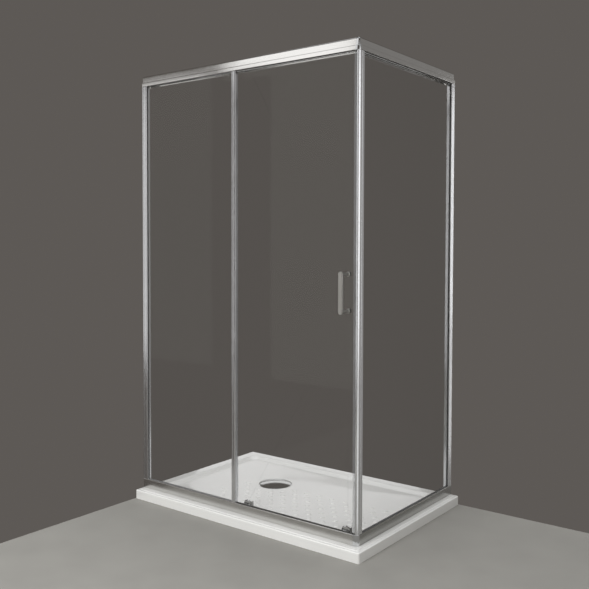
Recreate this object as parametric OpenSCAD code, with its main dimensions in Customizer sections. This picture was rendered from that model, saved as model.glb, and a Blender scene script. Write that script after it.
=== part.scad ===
// Corner shower enclosure: a low tray set in a corner of two walls, a fixed pane and a
// sliding door along the long side, and one fixed pane along the short side.
// X runs along the door side from the left wall to the free corner, and Y runs from the
// door side to the back wall. The origin is under the middle of the tray.
// In the rail sections, the first coordinate is the depth inward from a rail's outer face.

/* [Tray] */
// Length of the tray along the door side
tray_l = 1200; // [1140:10:1400]
// Width of the tray along the short glass side
tray_w = 800; // [700:10:900]
// Height of the tray's rim above the floor
tray_h = 40; // [36:1:60]
// Plan radius of the tray's corners
tray_corner_r = 8; // [6:1:30]
// Radius of the tray's outer top edge
tray_edge_r = 4; // [2:1:6]
// Width of the lower step along the tray's outer edge
edge_step_w = 15; // [8:1:20]
// Height of that step
edge_step_h = 1.5; // [1:0.5:3]
// Width of the rim along the two walls
wall_rim_w = 52; // [40:1:80]
// Rim left inside the rails
rim_margin = 8; // [4:1:20]
// Depth of the basin where its sides meet its floor
basin_depth = 14; // [8:1:16]
// Plan radius of the basin's corners
basin_corner_r = 45; // [25:1:80]
// How far the basin's sides slope inward
basin_run = 16; // [8:1:40]
// Fall of the floor from its edge to the waste
floor_fall = 8; // [4:1:10]
// Base radius of a raised tread dot
dot_r = 12; // [8:1:15]
// Height of a tread dot
dot_h = 1.2; // [0.8:0.2:2]
// Spacing of the dots along a row
dot_pitch_x = 69; // [50:1:100]
// Spacing of the rows of dots
dot_pitch_y = 43; // [35:1:60]

/* [Waste] */
// Distance of the waste from the left wall
waste_from_wall = 406; // [300:1:600]
// Distance of the waste from the tray's front edge
waste_from_front = 495; // [380:1:560]
// Radius of the hole through the tray
waste_hole_r = 45; // [42:1:50]
// Radius of the recess round the waste
recess_r = 78; // [72:1:90]
// Depth of that recess
recess_depth = 6; // [4:1:8]
// Gap between the lift-off cover and the recess wall
cover_gap = 5; // [3:1:8]
// Rise of the cover's dome
dome_rise = 9; // [5:1:12]

/* [Frame] */
// Height of the frame above the tray's rim
frame_h = 1850; // [1700:10:2000]
// Distance of the door-side frame from the tray's edge
front_set = 44; // [30:1:60]
// Distance of the short-side frame from the tray's edge
side_set = 34; // [30:1:60]
// Depth of the rails
rail_depth = 44; // [44:1:50]
// Height of the top rail
top_rail_h = 48; // [46:1:60]
// Height of the bottom rail
bottom_rail_h = 42; // [40:1:50]
// Wall of the rails
rail_t = 1.8; // [1.5:0.1:2]
// How far the top rail's lower tier stands out
tier_step = 6; // [4:1:7]
// Height of that lower tier
tier_h = 18; // [17:1:22]
// Gap between the rails' ends and the walls
rail_end_gap = 5; // [3:1:8]
// Length of front wall taken by the fixed pane and its posts
fixed_share = 0.47; // [0.44:0.01:0.48]

/* [Glass] */
// Thickness of the panes
glass_t = 6; // [5:0.5:6]
// How deep a pane enters its rails
glass_bite = 11; // [9:1:11]

/* [Door] */
// How far the door slides open
door_travel = 470; // [300:10:480]
// How far the door overlaps the fixed pane
door_overlap = 16; // [10:1:20]
// Distance of the leading roller from the door's edge
lead_roller_set = 37; // [34:1:60]
// Distance of the trailing roller from the door's other edge
trail_roller_set = 67; // [60:1:90]
// Radius of the domed roller caps
roller_cap_r = 20; // [16:1:20]
// Radius of the roller wheels at their flanges
wheel_r = 11; // [10.5:0.5:12]
// Radius of the wheel axles
axle_r = 3; // [2.5:0.5:3.5]
// How far the lower rollers can be pressed up to unhook the door
carrier_travel = 6; // [4:0.5:6]

/* [Handle] */
// Height of the handle's middle above the floor
handle_z = 968; // [850:1:1100]
// Distance between the handle's two posts
handle_span = 136; // [100:1:180]
// Width of the handle's bar
handle_w = 19; // [14:1:24]
// Thickness of the handle's bar
handle_t = 9; // [6:1:12]
// Gap between the bar and the pane
handle_gap = 44.5; // [36:0.5:60]
// Distance of the handle from the door's leading edge
handle_set = 33; // [28:1:60]

/* [Hidden] */
$fn = 48;
// Finer rounding of the flat dome
dome_fn = 360;
// Coarser rounding of blended corners
blend_fn = 32;
// Overrun of cuts
over = 1;
// Clearance between pieces that don't move on each other
fit = 0.3;
// Running clearance of a wheel on its axle
axle_play = 0.05;
// Clearance of a wheel over its track
track_play = 0.15;
// Clearance of a screw in its hole
screw_play = 0.05;

// Places of the frame
front_y = front_set - tray_w / 2;
side_x = tray_l / 2 - side_set;
wall_x = -tray_l / 2;
wall_y = tray_w / 2;
rim_z = tray_h;
frame_top = rim_z + frame_h;
top_z = frame_top - top_rail_h;
post_z0 = rim_z + bottom_rail_h;

// Rail sections
pocket_d = 3.5;
pocket_play = 3;
pocket_w = glass_t + pocket_play;
pocket_h = 14;
pocket_end = pocket_d + pocket_w;
glass_d = pocket_d + pocket_play / 2;
top_back_t = 4.5;
low_back_t = 4;
web_d = pocket_end + top_back_t;
bottom_box_d = pocket_end + low_back_t;
tier_r = 3;
upper_r = 9;
bottom_r = 5;
foot_r = 1.5;
base_t = 2.2;
track_d = 35;
track_stem = 2;
track_r = 1.6;
top_head_z = 8;
flange_z = 3;
flange_t = 2;
flange_d = 33;
bottom_head_z = 10;
inner_lip_h = 6;

// Front rail ends and corner cover
corner_r = 12;
corner_flat = 10;
corner_x = side_x - corner_r;
corner_y = front_y + corner_r;
front_rail_x0 = wall_x + rail_end_gap;
front_rail_x1 = corner_x - corner_flat;
side_rail_y0 = corner_y;
side_rail_y1 = wall_y - rail_end_gap;
side_inner_y0 = front_y + rail_depth + fit;
cover_t = 1.8;
pit_depth = 5;
tongue_l = 25;

// Wall channels and stiles, with u as the distance from a wall
channel_d0 = 4;
channel_d1 = 30;
channel_t = 1.6;
channel_u = 16;
stile_gap = 4;
stile_w = 27;
stile_u1 = stile_gap + stile_w;
stile_d0 = 2;
stile_t = 1.5;
stile_floor_u = 19;
stile_d1 = channel_d1 + fit + stile_t;
stile_z0 = rim_z + base_t + fit;
stile_z1 = top_z + pocket_h - fit;
channel_z0 = post_z0 + fit;
channel_z1 = top_z - fit;
channel_mid_z = (channel_z0 + channel_z1) / 2;
wall_hole_r = 2.25;
wall_hole_margin = 175;
wall_hole_outer = frame_h - 2 * wall_hole_margin;
wall_hole_inner = wall_hole_outer / 3;

// Posts
post_d0 = 1.5;
post_back_t = 2;
post_d1 = pocket_end + post_back_t;
mid_x1 = wall_x + tray_l * fixed_share;
mid_w = 22;
mid_pocket = 12;
mid_x0 = mid_x1 - mid_w;
groove_w = 3;
groove_h = 1.2;
corner_post_x1 = side_x - post_d0;
corner_post_x0 = side_x - post_d1;
corner_post_y0 = front_y + post_d0;
corner_post_l = 30;
corner_post_y1 = corner_post_y0 + corner_post_l;
corner_post_r = 4;
post_wall = 1.8;
mid_seal_w = 9;

// Panes
pocket_floor_z = post_z0 - pocket_h;
seat_t = 3;
pane_z0 = post_z0 - glass_bite;
pane_z1 = top_z + glass_bite;
pane_gap = 2;
fixed_x0 = wall_x + stile_floor_u + pane_gap;
fixed_x1 = mid_x0 + mid_pocket - pane_gap;
side_y0 = corner_post_y1 - mid_pocket + pane_gap;
side_y1 = wall_y - stile_floor_u - pane_gap;
gasket_lip = 0.5;

// Door
door_d = 21;
door_d1 = door_d + glass_t;
door_x0 = mid_x1 - door_overlap;
strip_w = 5.8;
seal_w = 17.4;
seal_clip_w = 10;
door_x1 = corner_post_x0 - strip_w - fit - seal_w + seal_clip_w;
door_foot_rise = 14;
door_head_bite = 34;
door_z0 = rim_z + door_foot_rise;
door_z1 = top_z + door_head_bite;
clip_t = 1.2;
clip_web = 1.5;
strip_d0 = 20;
strip_d1 = 28;
cap_clear = 1.5;
seal_clear = 4;

// Wheels and rollers
bead_touch_r = 8.5;
groove_r = 2;
wheel_near_w = 3.8;
wheel_far_w = 4;
wheel_d0 = track_d - wheel_near_w;
wheel_d1 = track_d + wheel_far_w;
top_wheel_z = top_z + top_head_z + track_r + bead_touch_r + track_play;
low_wheel_z = rim_z + bottom_head_z + track_r + bead_touch_r + track_play;
low_hole_rise = 20;
low_hole_z = low_wheel_z + low_hole_rise;
lead_x = door_x1 - lead_roller_set;
trail_x = door_x0 + trail_roller_set;
bolt_play = 0.2;
glass_hole_r = 7;
boss_r = 6.6;
cap_t = 3;
cap_rise = 2;
washer_t = 0.5;
washer_r = 14;
slot_w = 2.4;
slot_h = 1.2;
slot_angle = 45;
bracket_r = 12;
bracket_d1 = wheel_d0 - bolt_play;
bolt_head_r = 5;
bolt_head_t = 1.4;
cap_bore = 0.9;
bolt_d0 = door_d - washer_t - cap_bore + fit;

// Housings and sprung carriers of the lower rollers
housing_x = 15;
housing_wall = 2.5;
housing_back = 2.5;
housing_inset = 0.5;
housing_drop = 2;
housing_rise = 32;
housing_d1 = wheel_d1 - housing_inset;
housing_z0 = low_wheel_z - housing_drop;
housing_z1 = low_wheel_z + housing_rise;
housing_skin = 1.5;
side_notch_h = 7;
ledge_rise = 14;
ledge_z = low_wheel_z + ledge_rise;
ledge_w = 3.5;
ledge_t = 1.6;
plate_d0 = door_d1 + housing_back + fit;
plate_d1 = wheel_d0 - fit;
plate_x = housing_x - housing_wall - fit;
plate_drop = 7;
plate_z0 = low_wheel_z - plate_drop;
tab_t = 3;
spring_r = 2.6;
spring_wall = 0.7;
low_head_r = 4.6;

// Fasteners
screw_r = 1.9;
screw_head_r = 3.5;
screw_head_t = 2.2;
stile_screw_u = 10;
rail_screw_u = 25;
top_screw_z = 8;
low_screw_z = 15;
screw_z_shares = [0.1, 0.5, 0.9];

// Handle
handle_x = door_x1 - handle_set;
handle_y1 = front_y + door_d - handle_gap;
handle_post_r = 6;
handle_foot_r = 9;
handle_foot_t = 3;
handle_end = 10.5;
handle_washer_t = 0.8;
handle_hole_r = 6;
handle_screw_r = 2.5;
handle_thread = 12;
handle_cap_t = 4;

// Track buffers
stop_l = 10;
stop_w = 5;
stop_h = 11;

// Basin and waste
basin_x0 = wall_x + wall_rim_w;
basin_x1 = side_x - rail_depth - rim_margin;
basin_y0 = front_y + rail_depth + rim_margin;
basin_y1 = wall_y - wall_rim_w;
foot_z = tray_h - basin_depth;
drain_z = foot_z - floor_fall;
waste_x = wall_x + waste_from_wall;
waste_y = waste_from_front - tray_w / 2;
drain_margin = 5;
drain_r = recess_r + drain_margin;
recess_z = drain_z - recess_depth;
step_corner_r = 4;
thin = 0.1;
flange_lip = 12;
flange_plate = 2;
neck_t = 3;
neck_r = waste_hole_r - neck_t;
seat_rise = 1;
cover_r = recess_r - cover_gap;
dome_t = 1.6;
cover_rim = 1;
cover_drop = 1.5;
cover_z = drain_z - cover_drop;
cover_foot_r = 3;
cover_foot_share = 0.67;
fin_t = 2;

// Zone of the tread dots
dots_left_margin = 215;
dots_right_margin = 40;
dots_front_margin = 25;
dots_back_margin = 245;
dots_x0 = basin_x0 + dots_left_margin;
dots_x1 = basin_x1 - dots_right_margin;
dots_y0 = basin_y0 + dots_front_margin;
dots_y1 = basin_y1 - dots_back_margin;
dot_zone_r = 90;
dot_clear = 12;
dot_taper_share = 0.6;
dot_sink = 2;
search_step = 10;

// Fills the square corner outside a quarter circle, for rounding a corner by a cut
module corner_waste(r) {
    difference() {
        translate([-over, -over]) square(r + over);
        translate([r, r]) circle(r);
    }
}

// Rectangle whose four corners have their own radii, from bottom left, anticlockwise
module soft_rect(w, h, r) {
    difference() {
        square([w, h]);
        if (r[0] > 0) corner_waste(r[0]);
        if (r[1] > 0) translate([w, 0]) mirror([1, 0]) corner_waste(r[1]);
        if (r[2] > 0) translate([w, h]) mirror([1, 0]) mirror([0, 1]) corner_waste(r[2]);
        if (r[3] > 0) translate([0, h]) mirror([0, 1]) corner_waste(r[3]);
    }
}

// Rectangle given by its two corners
module rect(x0, y0, x1, y1) {
    translate([x0, y0]) square([x1 - x0, y1 - y0]);
}

// Block given by its two corners
module block(a, b) {
    translate(a) cube(b - a);
}

// Sweeps a rail section along the door side
module along_front(x0, x1, z) {
    translate([x0, front_y, z]) rotate([90, 0, 90]) linear_extrude(x1 - x0) children();
}

// Sweeps a rail section along the short side
module along_side(y0, y1, z) {
    translate([side_x, y0, z]) rotate([90, 0, 180]) linear_extrude(y1 - y0) children();
}

// Places what is drawn as (distance from the wall, depth) at the left wall
module at_left_wall() {
    translate([wall_x, front_y, 0]) children();
}

// Places the same at the back wall
module at_back_wall() {
    translate([side_x, wall_y, 0]) mirror([1, 1, 0]) children();
}

// Round bar along Y, from depth d0 to depth d1 of the door side
module bar_y(x, z, r, d0, d1) {
    translate([x, front_y + d1, z]) rotate([90, 0, 0]) cylinder(h = d1 - d0, r = r);
}

// Tray

// Section of the tray's outer edge, from a corner's centre outward
module tray_edge() {
    soft_rect(tray_corner_r, tray_h - edge_step_h, [0, 0, tray_edge_r, 0]);
}

// Straight stretch of the edge, centred on its length
module tray_side(l) {
    translate([0, l / 2, 0]) rotate([90, 0, 0]) linear_extrude(l) tray_edge();
}

module tray_body() {
    core_x = tray_l / 2 - tray_corner_r;
    core_y = tray_w / 2 - tray_corner_r;
    block([-core_x, -core_y, 0], [core_x, core_y, tray_h - edge_step_h]);
    for (side = [0, 1]) {
        rotate(180 * side) translate([core_x, 0, 0]) tray_side(2 * core_y);
        rotate(90 + 180 * side) translate([core_y, 0, 0]) tray_side(2 * core_x);
    }
    for (sx = [-1, 1], sy = [-1, 1])
        translate([sx * core_x, sy * core_y, 0])
            rotate(sy > 0 ? (sx > 0 ? 0 : 90) : (sx > 0 ? 270 : 180))
                rotate_extrude(angle = 90) tray_edge();
    inner_x = tray_l / 2 - edge_step_w;
    inner_y = tray_w / 2 - edge_step_w;
    translate([-inner_x, -inner_y, 0]) linear_extrude(tray_h)
        soft_rect(2 * inner_x, 2 * inner_y, [for (i = [0 : 3]) step_corner_r]);
}

// Plan outline of the basin, drawn in by some amount
module basin_outline(inset) {
    translate([basin_x0 + inset, basin_y0 + inset])
        soft_rect(basin_x1 - basin_x0 - 2 * inset, basin_y1 - basin_y0 - 2 * inset,
            [for (i = [0 : 3]) basin_corner_r], $fn = blend_fn);
}

// Hollow of the basin: sloped sides over a floor that falls to the waste
module basin_cut() {
    hull() {
        translate([0, 0, tray_h]) linear_extrude(over) basin_outline(0);
        translate([0, 0, foot_z]) linear_extrude(thin) basin_outline(basin_run);
    }
    hull() {
        translate([0, 0, foot_z]) linear_extrude(thin) basin_outline(basin_run);
        translate([waste_x, waste_y, drain_z]) cylinder(h = thin, r = drain_r, $fn = blend_fn);
    }
}

// Centres of the basin floor's corner arcs, from the waste
arc_set = basin_run + basin_corner_r;
function arc_centres() = [for (x = [basin_x0 + arc_set, basin_x1 - arc_set],
    y = [basin_y0 + arc_set, basin_y1 - arc_set]) [x - waste_x, y - waste_y]];
function reach(a) = max([for (c = arc_centres()) c * [cos(a), sin(a)]]) + basin_corner_r;
function slope_share(p, a) = (p * [cos(a), sin(a)] - drain_r) / (reach(a) - drain_r);
// Height of the floor at a point taken from the waste
function floor_z(p) = drain_z + floor_fall
    * max(0, max([for (a = [0 : search_step : 360 - search_step]) slope_share(p, a)]));

// Whether a dot at x, y lies in the rounded zone and clear of the waste
function in_zone(x, y) = let (
        ix = max(dots_x0 + dot_zone_r - x, x - dots_x1 + dot_zone_r, 0),
        iy = max(dots_y0 + dot_zone_r - y, y - dots_y1 + dot_zone_r, 0))
    norm([ix, iy]) <= dot_zone_r
    && norm([x - waste_x, y - waste_y]) > drain_r + dot_r + dot_clear;

module tread_dots() {
    rows = floor((dots_y1 - dots_y0) / dot_pitch_y);
    columns = floor((dots_x1 - dots_x0) / dot_pitch_x);
    for (j = [0 : rows], i = [0 : columns]) {
        x = dots_x0 + dot_pitch_x * (i + (j % 2) / 2);
        y = dots_y0 + dot_pitch_y * j;
        if (in_zone(x, y))
            translate([x, y, floor_z([x - waste_x, y - waste_y]) - dot_sink])
                cylinder(h = dot_sink + dot_h, r1 = dot_r, r2 = dot_r * dot_taper_share);
    }
}

module tray() {
    color("white") {
        difference() {
            tray_body();
            basin_cut();
            translate([waste_x, waste_y, recess_z]) cylinder(h = tray_h, r = recess_r);
            translate([waste_x, waste_y, -over]) cylinder(h = tray_h, r = waste_hole_r);
        }
        tread_dots();
    }
}

module waste_flange() {
    color("silver") translate([waste_x, waste_y, recess_z]) rotate_extrude() {
        rect(neck_r, 0, waste_hole_r + flange_lip, flange_plate);
        rect(neck_r, 0, neck_r + neck_t, flange_plate + seat_rise);
    }
}

// Half section of a shallow dome of radius r and some rise
module dome_section(r, rise) {
    ball_r = (r * r + rise * rise) / (2 * rise);
    intersection() {
        square([r, rise]);
        translate([0, rise - ball_r]) circle(ball_r, $fn = dome_fn);
    }
}

// Height of the middle of the cover's wall above a ring of radius r
function cover_wall_z(r) = let (ball_r = (cover_r * cover_r + dome_rise * dome_rise)
        / (2 * dome_rise))
    cover_z + cover_rim + dome_rise - ball_r + sqrt(ball_r * ball_r - r * r) - dome_t / 2;

module waste_cover() {
    foot_ring = cover_r * cover_foot_share;
    foot_z0 = recess_z + flange_plate;
    fin_r = neck_r - fit;
    color("gainsboro") translate([waste_x, waste_y, 0]) {
        difference() {
            translate([0, 0, cover_z]) rotate_extrude() {
                square([cover_r, cover_rim]);
                translate([0, cover_rim]) dome_section(cover_r, dome_rise);
            }
            translate([0, 0, cover_z]) rotate_extrude()
                difference() {
                    translate([0, cover_rim - dome_t]) dome_section(cover_r, dome_rise);
                    rect(cover_r - dome_t, -dome_rise, cover_r + over, dome_rise);
                    rect(-over, -dome_rise, cover_r, 0);
                }
        }
        for (a = [0 : 90 : 270])
            rotate(a + 45) translate([foot_ring, 0, foot_z0])
                cylinder(h = cover_wall_z(foot_ring) - foot_z0, r = cover_foot_r);
        for (a = [0, 90])
            rotate(a) block([-fin_r, -fin_t / 2, recess_z + fit],
                [fin_r, fin_t / 2, cover_wall_z(fin_r)]);
    }
}

// Wall channels and stiles

module channel_section() {
    rect(0, channel_d0, channel_t, channel_d1);
    rect(0, channel_d0, channel_u, channel_d0 + channel_t);
    rect(0, channel_d1 - channel_t, channel_u, channel_d1);
}

module stile_section() {
    web_u = stile_floor_u - stile_t;
    rect(stile_gap, stile_d0, stile_u1, pocket_d);
    rect(web_u, stile_d0, stile_floor_u, stile_d1);
    rect(web_u, pocket_end, stile_u1, pocket_end + stile_t);
    rect(stile_gap, channel_d1 + fit, stile_floor_u, stile_d1);
}

// Heights of the screws that hold a stile on its channel
screw_heights = [for (s = screw_z_shares) stile_z0 + s * (stile_z1 - stile_z0)];
// Heights of the screws that hold the rails on a stile
rail_screw_heights = [rim_z + low_screw_z, top_z + top_screw_z];

// Round hole or shank along the depth, at distance u from a wall
module depth_bar(u, z, r, d0, d1) {
    translate([u, d1, z]) rotate([90, 0, 0]) cylinder(h = d1 - d0, r = r);
}

module wall_channel() {
    difference() {
        translate([0, 0, channel_z0]) linear_extrude(channel_z1 - channel_z0)
            channel_section();
        for (z = screw_heights)
            depth_bar(stile_screw_u, z, screw_r + screw_play, channel_d1 - channel_t - over,
                channel_d1 + over);
        for (span = [wall_hole_outer, wall_hole_inner], side = [-1, 1])
            translate([-over, (channel_d0 + channel_d1) / 2, channel_mid_z + side * span / 2])
                rotate([0, 90, 0]) cylinder(h = channel_t + 2 * over, r = wall_hole_r);
    }
}

module stile() {
    difference() {
        translate([0, 0, stile_z0]) linear_extrude(stile_z1 - stile_z0) stile_section();
        for (z = screw_heights)
            depth_bar(stile_screw_u, z, screw_r + screw_play, channel_d1, stile_d1 + over);
        for (z = rail_screw_heights)
            depth_bar(rail_screw_u, z, screw_r + screw_play, pocket_end - over,
                pocket_end + stile_t + over);
    }
}

module wall_channel_left() {
    color("silver") at_left_wall() wall_channel();
}

module wall_channel_back() {
    color("silver") at_back_wall() wall_channel();
}

module stile_left() {
    color("whitesmoke") at_left_wall() stile();
}

module stile_back() {
    color("whitesmoke") at_back_wall() stile();
}

// Pan head screw that points outward along the depth
module pan_screw(u, z, seat, tip) {
    depth_bar(u, z, screw_head_r, seat, seat + screw_head_t);
    depth_bar(u, z, screw_r, tip, seat + thin);
}

module wall_screws() {
    for (z = screw_heights)
        pan_screw(stile_screw_u, z, stile_d1, channel_d1 - 2 * channel_t);
}

module stile_screws() {
    color("silver") {
        at_left_wall() wall_screws();
        at_back_wall() wall_screws();
    }
}

// Screws through the inner side of the rails into the stile
module end_screws() {
    pan_screw(rail_screw_u, rail_screw_heights[0], bottom_box_d, pocket_end + thin);
    pan_screw(rail_screw_u, rail_screw_heights[1], web_d, pocket_end + thin);
}

module rail_screws() {
    color("silver") {
        at_left_wall() end_screws();
        at_back_wall() end_screws();
    }
}

// Rails

// Bead that the wheels run on, as a stem with a round head
module track_bead(foot, head) {
    rect(track_d - track_stem / 2, foot, track_d + track_stem / 2, head);
    translate([track_d, head]) circle(track_r);
}

module top_rail_section() {
    difference() {
        union() {
            soft_rect(web_d, tier_h, [tier_r, 0, 0, tier_r]);
            translate([tier_step, 0])
                soft_rect(rail_depth - tier_step, top_rail_h, [0, 0, 0, upper_r]);
        }
        rect(pocket_d, -over, pocket_end, pocket_h);
        translate([tier_step + rail_t, pocket_h + rail_t])
            soft_rect(web_d - tier_step - 2 * rail_t, top_rail_h - pocket_h - 2 * rail_t,
                [0, 0, 0, upper_r - rail_t]);
        rect(web_d, -over, rail_depth - rail_t, top_rail_h - rail_t);
    }
    rect(flange_d, flange_z, rail_depth, flange_z + flange_t);
    track_bead(flange_z, top_head_z);
}

module bottom_rail_section() {
    difference() {
        soft_rect(bottom_box_d, bottom_rail_h, [foot_r, 0, 0, bottom_r]);
        rect(pocket_d, bottom_rail_h - pocket_h, pocket_end, bottom_rail_h + over);
        rect(rail_t, rail_t, bottom_box_d - rail_t, bottom_rail_h - pocket_h - rail_t);
    }
    rect(bottom_box_d - rail_t, 0, rail_depth, base_t);
    track_bead(0, bottom_head_z);
    rect(rail_depth - rail_t, 0, rail_depth, inner_lip_h);
}

// Room for a stile at the wall end of a rail, in wall coordinates
module stile_room(z0, z1) {
    block([-over, pocket_d - rail_t, z0],
        [stile_u1 + fit, pocket_end + stile_t + fit, z1]);
    block([-over, pocket_end, z0], [stile_floor_u + fit, stile_d1 + fit, z1]);
}

// Hole in a rail for the screw into the stile
module end_screw_hole(z, d1) {
    depth_bar(rail_screw_u, z, screw_r + screw_play, pocket_end, d1 + over);
}

module top_end_cut() {
    stile_room(top_z - over, top_z + pocket_h);
    end_screw_hole(rail_screw_heights[1], web_d);
}

module bottom_end_cut() {
    stile_room(rim_z + base_t, post_z0 + over);
    end_screw_hole(rail_screw_heights[0], bottom_box_d);
}

module top_rail_front() {
    color("lightgray") difference() {
        along_front(front_rail_x0, front_rail_x1, top_z) top_rail_section();
        at_left_wall() top_end_cut();
    }
}

module top_rail_side() {
    color("gray") difference() {
        along_side(side_rail_y0, side_rail_y1, top_z) top_rail_section();
        at_back_wall() top_end_cut();
        block([side_x - rail_depth - over, side_rail_y0 - over, top_z - over],
            [side_x - web_d, side_inner_y0, frame_top + over]);
    }
}

module bottom_rail_front() {
    color("darkgray") difference() {
        along_front(front_rail_x0, front_rail_x1, rim_z) bottom_rail_section();
        at_left_wall() bottom_end_cut();
    }
}

module bottom_rail_side() {
    color("dimgray") difference() {
        along_side(side_rail_y0, side_rail_y1, rim_z) bottom_rail_section();
        at_back_wall() bottom_end_cut();
        block([side_x - rail_depth - over, side_rail_y0 - over, rim_z - over],
            [side_x - bottom_box_d, side_inner_y0, post_z0 + over]);
    }
}

// Corner

// Plan of the corner: a quarter round of radius r with a flat towards the front rail
module corner_plan(r, flat, back) {
    intersection() {
        circle(r);
        rect(0, -r, r, back);
    }
    rect(-flat, -r, 0, back);
}

module corner_cover_bottom() {
    color("silver") translate([corner_x, corner_y, rim_z]) difference() {
        linear_extrude(bottom_rail_h) corner_plan(corner_r, corner_flat - fit, -fit);
        translate([0, 0, -over]) linear_extrude(bottom_rail_h + 2 * over)
            corner_plan(corner_r - cover_t, corner_flat, over);
    }
}

module corner_cover_top() {
    upper = corner_r - tier_step;
    color("silver") translate([corner_x, corner_y, top_z]) difference() {
        union() {
            linear_extrude(tier_h) corner_plan(corner_r, corner_flat - fit, -fit);
            linear_extrude(top_rail_h) corner_plan(upper, corner_flat - fit, -fit);
        }
        translate([0, 0, -over]) linear_extrude(tier_h + over - cover_t)
            corner_plan(corner_r - cover_t, corner_flat, over);
        translate([0, 0, -over]) linear_extrude(top_rail_h + over - cover_t)
            corner_plan(upper - cover_t, corner_flat, over);
    }
}

// Depths of the tongues that enter the rails' chambers
low_tongue = [rail_t + fit, bottom_box_d - rail_t - fit];
low_tongue_z = [rail_t + fit, bottom_rail_h - pocket_h - rail_t - fit];
top_tongue = [tier_step + 2 * rail_t, web_d - rail_t - fit];
top_tongue_z = [pocket_h + rail_t + fit, top_rail_h - 3 * rail_t];

// Pair of tongues, one into each rail
module tongues(depth, height) {
    block([front_rail_x1 - tongue_l, front_y + depth[0], height[0]],
        [corner_x - corner_flat + over, front_y + depth[1], height[1]]);
    block([side_x - depth[1], corner_y - over, height[0]],
        [side_x - depth[0], corner_y + tongue_l, height[1]]);
}

// Solid core inside a corner cover of radius r
module corner_core(r, z0, z1) {
    translate([corner_x, corner_y, z0]) linear_extrude(z1 - z0)
        corner_plan(r - cover_t - fit, corner_flat - fit, -fit);
}

module corner_block_bottom() {
    color("black") {
        corner_core(corner_r, rim_z, post_z0 - pit_depth);
        intersection() {
            corner_core(corner_r, rim_z, post_z0);
            block([corner_post_x0 + fit, front_y, rim_z], [side_x, corner_y, post_z0]);
        }
        translate([0, 0, rim_z]) tongues(low_tongue, low_tongue_z);
        block([front_rail_x1 + fit, corner_y - over, rim_z],
            [side_x - bottom_box_d - fit, side_inner_y0 - 2 * fit, rim_z + base_t]);
    }
}

module corner_block_top() {
    upper = corner_r - tier_step;
    cap_z = frame_top - cover_t - fit;
    color("black") {
        corner_core(corner_r, top_z, top_z + tier_h - cover_t - fit);
        corner_core(upper, top_z, cap_z);
        translate([0, 0, top_z]) tongues(top_tongue, top_tongue_z);
        block([front_rail_x1 + fit, corner_y - upper + cover_t + fit, door_z1 + seal_clear],
            [side_x - web_d - fit, side_inner_y0 - 2 * fit, cap_z]);
    }
}

module corner_post() {
    side_glass_x0 = side_x - pocket_end;
    color("whitesmoke") translate([0, 0, post_z0]) linear_extrude(top_z - post_z0)
        difference() {
            translate([corner_post_x0, corner_post_y0])
                soft_rect(corner_post_x1 - corner_post_x0, corner_post_l,
                    [0, corner_post_r, 0, 0]);
            rect(side_glass_x0, corner_post_y1 - mid_pocket, side_glass_x0 + pocket_w,
                corner_post_y1 + over);
            translate([corner_post_x0 + post_wall, corner_post_y0 + post_wall])
                soft_rect(post_d1 - post_d0 - 2 * post_wall,
                    corner_post_l - mid_pocket - 2 * post_wall,
                    [0, corner_post_r - post_wall, 0, 0]);
        }
}

module post_magnet_strip() {
    color("gray") block([corner_post_x0 - strip_w, front_y + strip_d0, post_z0],
        [corner_post_x0, front_y + strip_d1, top_z]);
}

// Middle post

module mid_post() {
    hollow_x0 = mid_x0 + mid_pocket + post_wall;
    groove_x = mid_x1 - (mid_w - mid_pocket) / 2;
    color("whitesmoke") translate([0, 0, post_z0]) linear_extrude(top_z - post_z0)
        difference() {
            rect(mid_x0, front_y + post_d0, mid_x1, front_y + post_d1);
            rect(mid_x0 - over, front_y + pocket_d, mid_x0 + mid_pocket,
                front_y + pocket_end);
            rect(hollow_x0, front_y + pocket_d, mid_x1 - post_wall, front_y + pocket_end);
            translate([groove_x, front_y + post_d0]) polygon([[-groove_w / 2, -over],
                [-groove_w / 2, 0], [0, groove_h], [groove_w / 2, 0], [groove_w / 2, -over]]);
        }
}

// Height of the zone that the roller caps sweep past, at each end of the door
cap_reach_low = low_hole_z + roller_cap_r + cap_clear;
cap_reach_top = top_wheel_z - roller_cap_r - cap_clear;

module mid_post_seal() {
    seal_x1 = mid_x1 - over;
    color("lightgray") block([seal_x1 - mid_seal_w, front_y + post_d1, cap_reach_low],
        [seal_x1, front_y + door_d - 2 * fit, cap_reach_top]);
}

// Fixed panes and their gaskets

module fixed_glass() {
    color("lightblue", 0.35) block([fixed_x0, front_y + glass_d, pane_z0],
        [fixed_x1, front_y + glass_d + glass_t, pane_z1]);
}

module side_glass() {
    color("lightblue", 0.35) block([side_x - glass_d - glass_t, side_y0, pane_z0],
        [side_x - glass_d, side_y1, pane_z1]);
}

// Frame-shaped gasket round a pane, drawn along u with depth d, from u0 to u1
module gasket(u0, u1, mouth0, mouth1) {
    difference() {
        block([u0 - pane_gap + fit, pocket_d + thin, pocket_floor_z],
            [u1 + pane_gap - fit, pocket_end - thin, pane_z1 + seat_t - fit]);
        block([u0, glass_d, pane_z0], [u1, glass_d + glass_t, pane_z1]);
        block([mouth0 + gasket_lip, 0, post_z0 + gasket_lip],
            [mouth1 - gasket_lip, rail_depth, top_z - gasket_lip]);
    }
}

module fixed_glass_gasket() {
    color("dimgray") translate([0, front_y, 0])
        gasket(fixed_x0, fixed_x1, wall_x + stile_u1, mid_x0);
}

module side_glass_gasket() {
    color("dimgray") translate([side_x, 0, 0]) rotate(90)
        gasket(side_y0, side_y1, corner_post_y1, wall_y - stile_u1);
}

// Door

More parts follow.
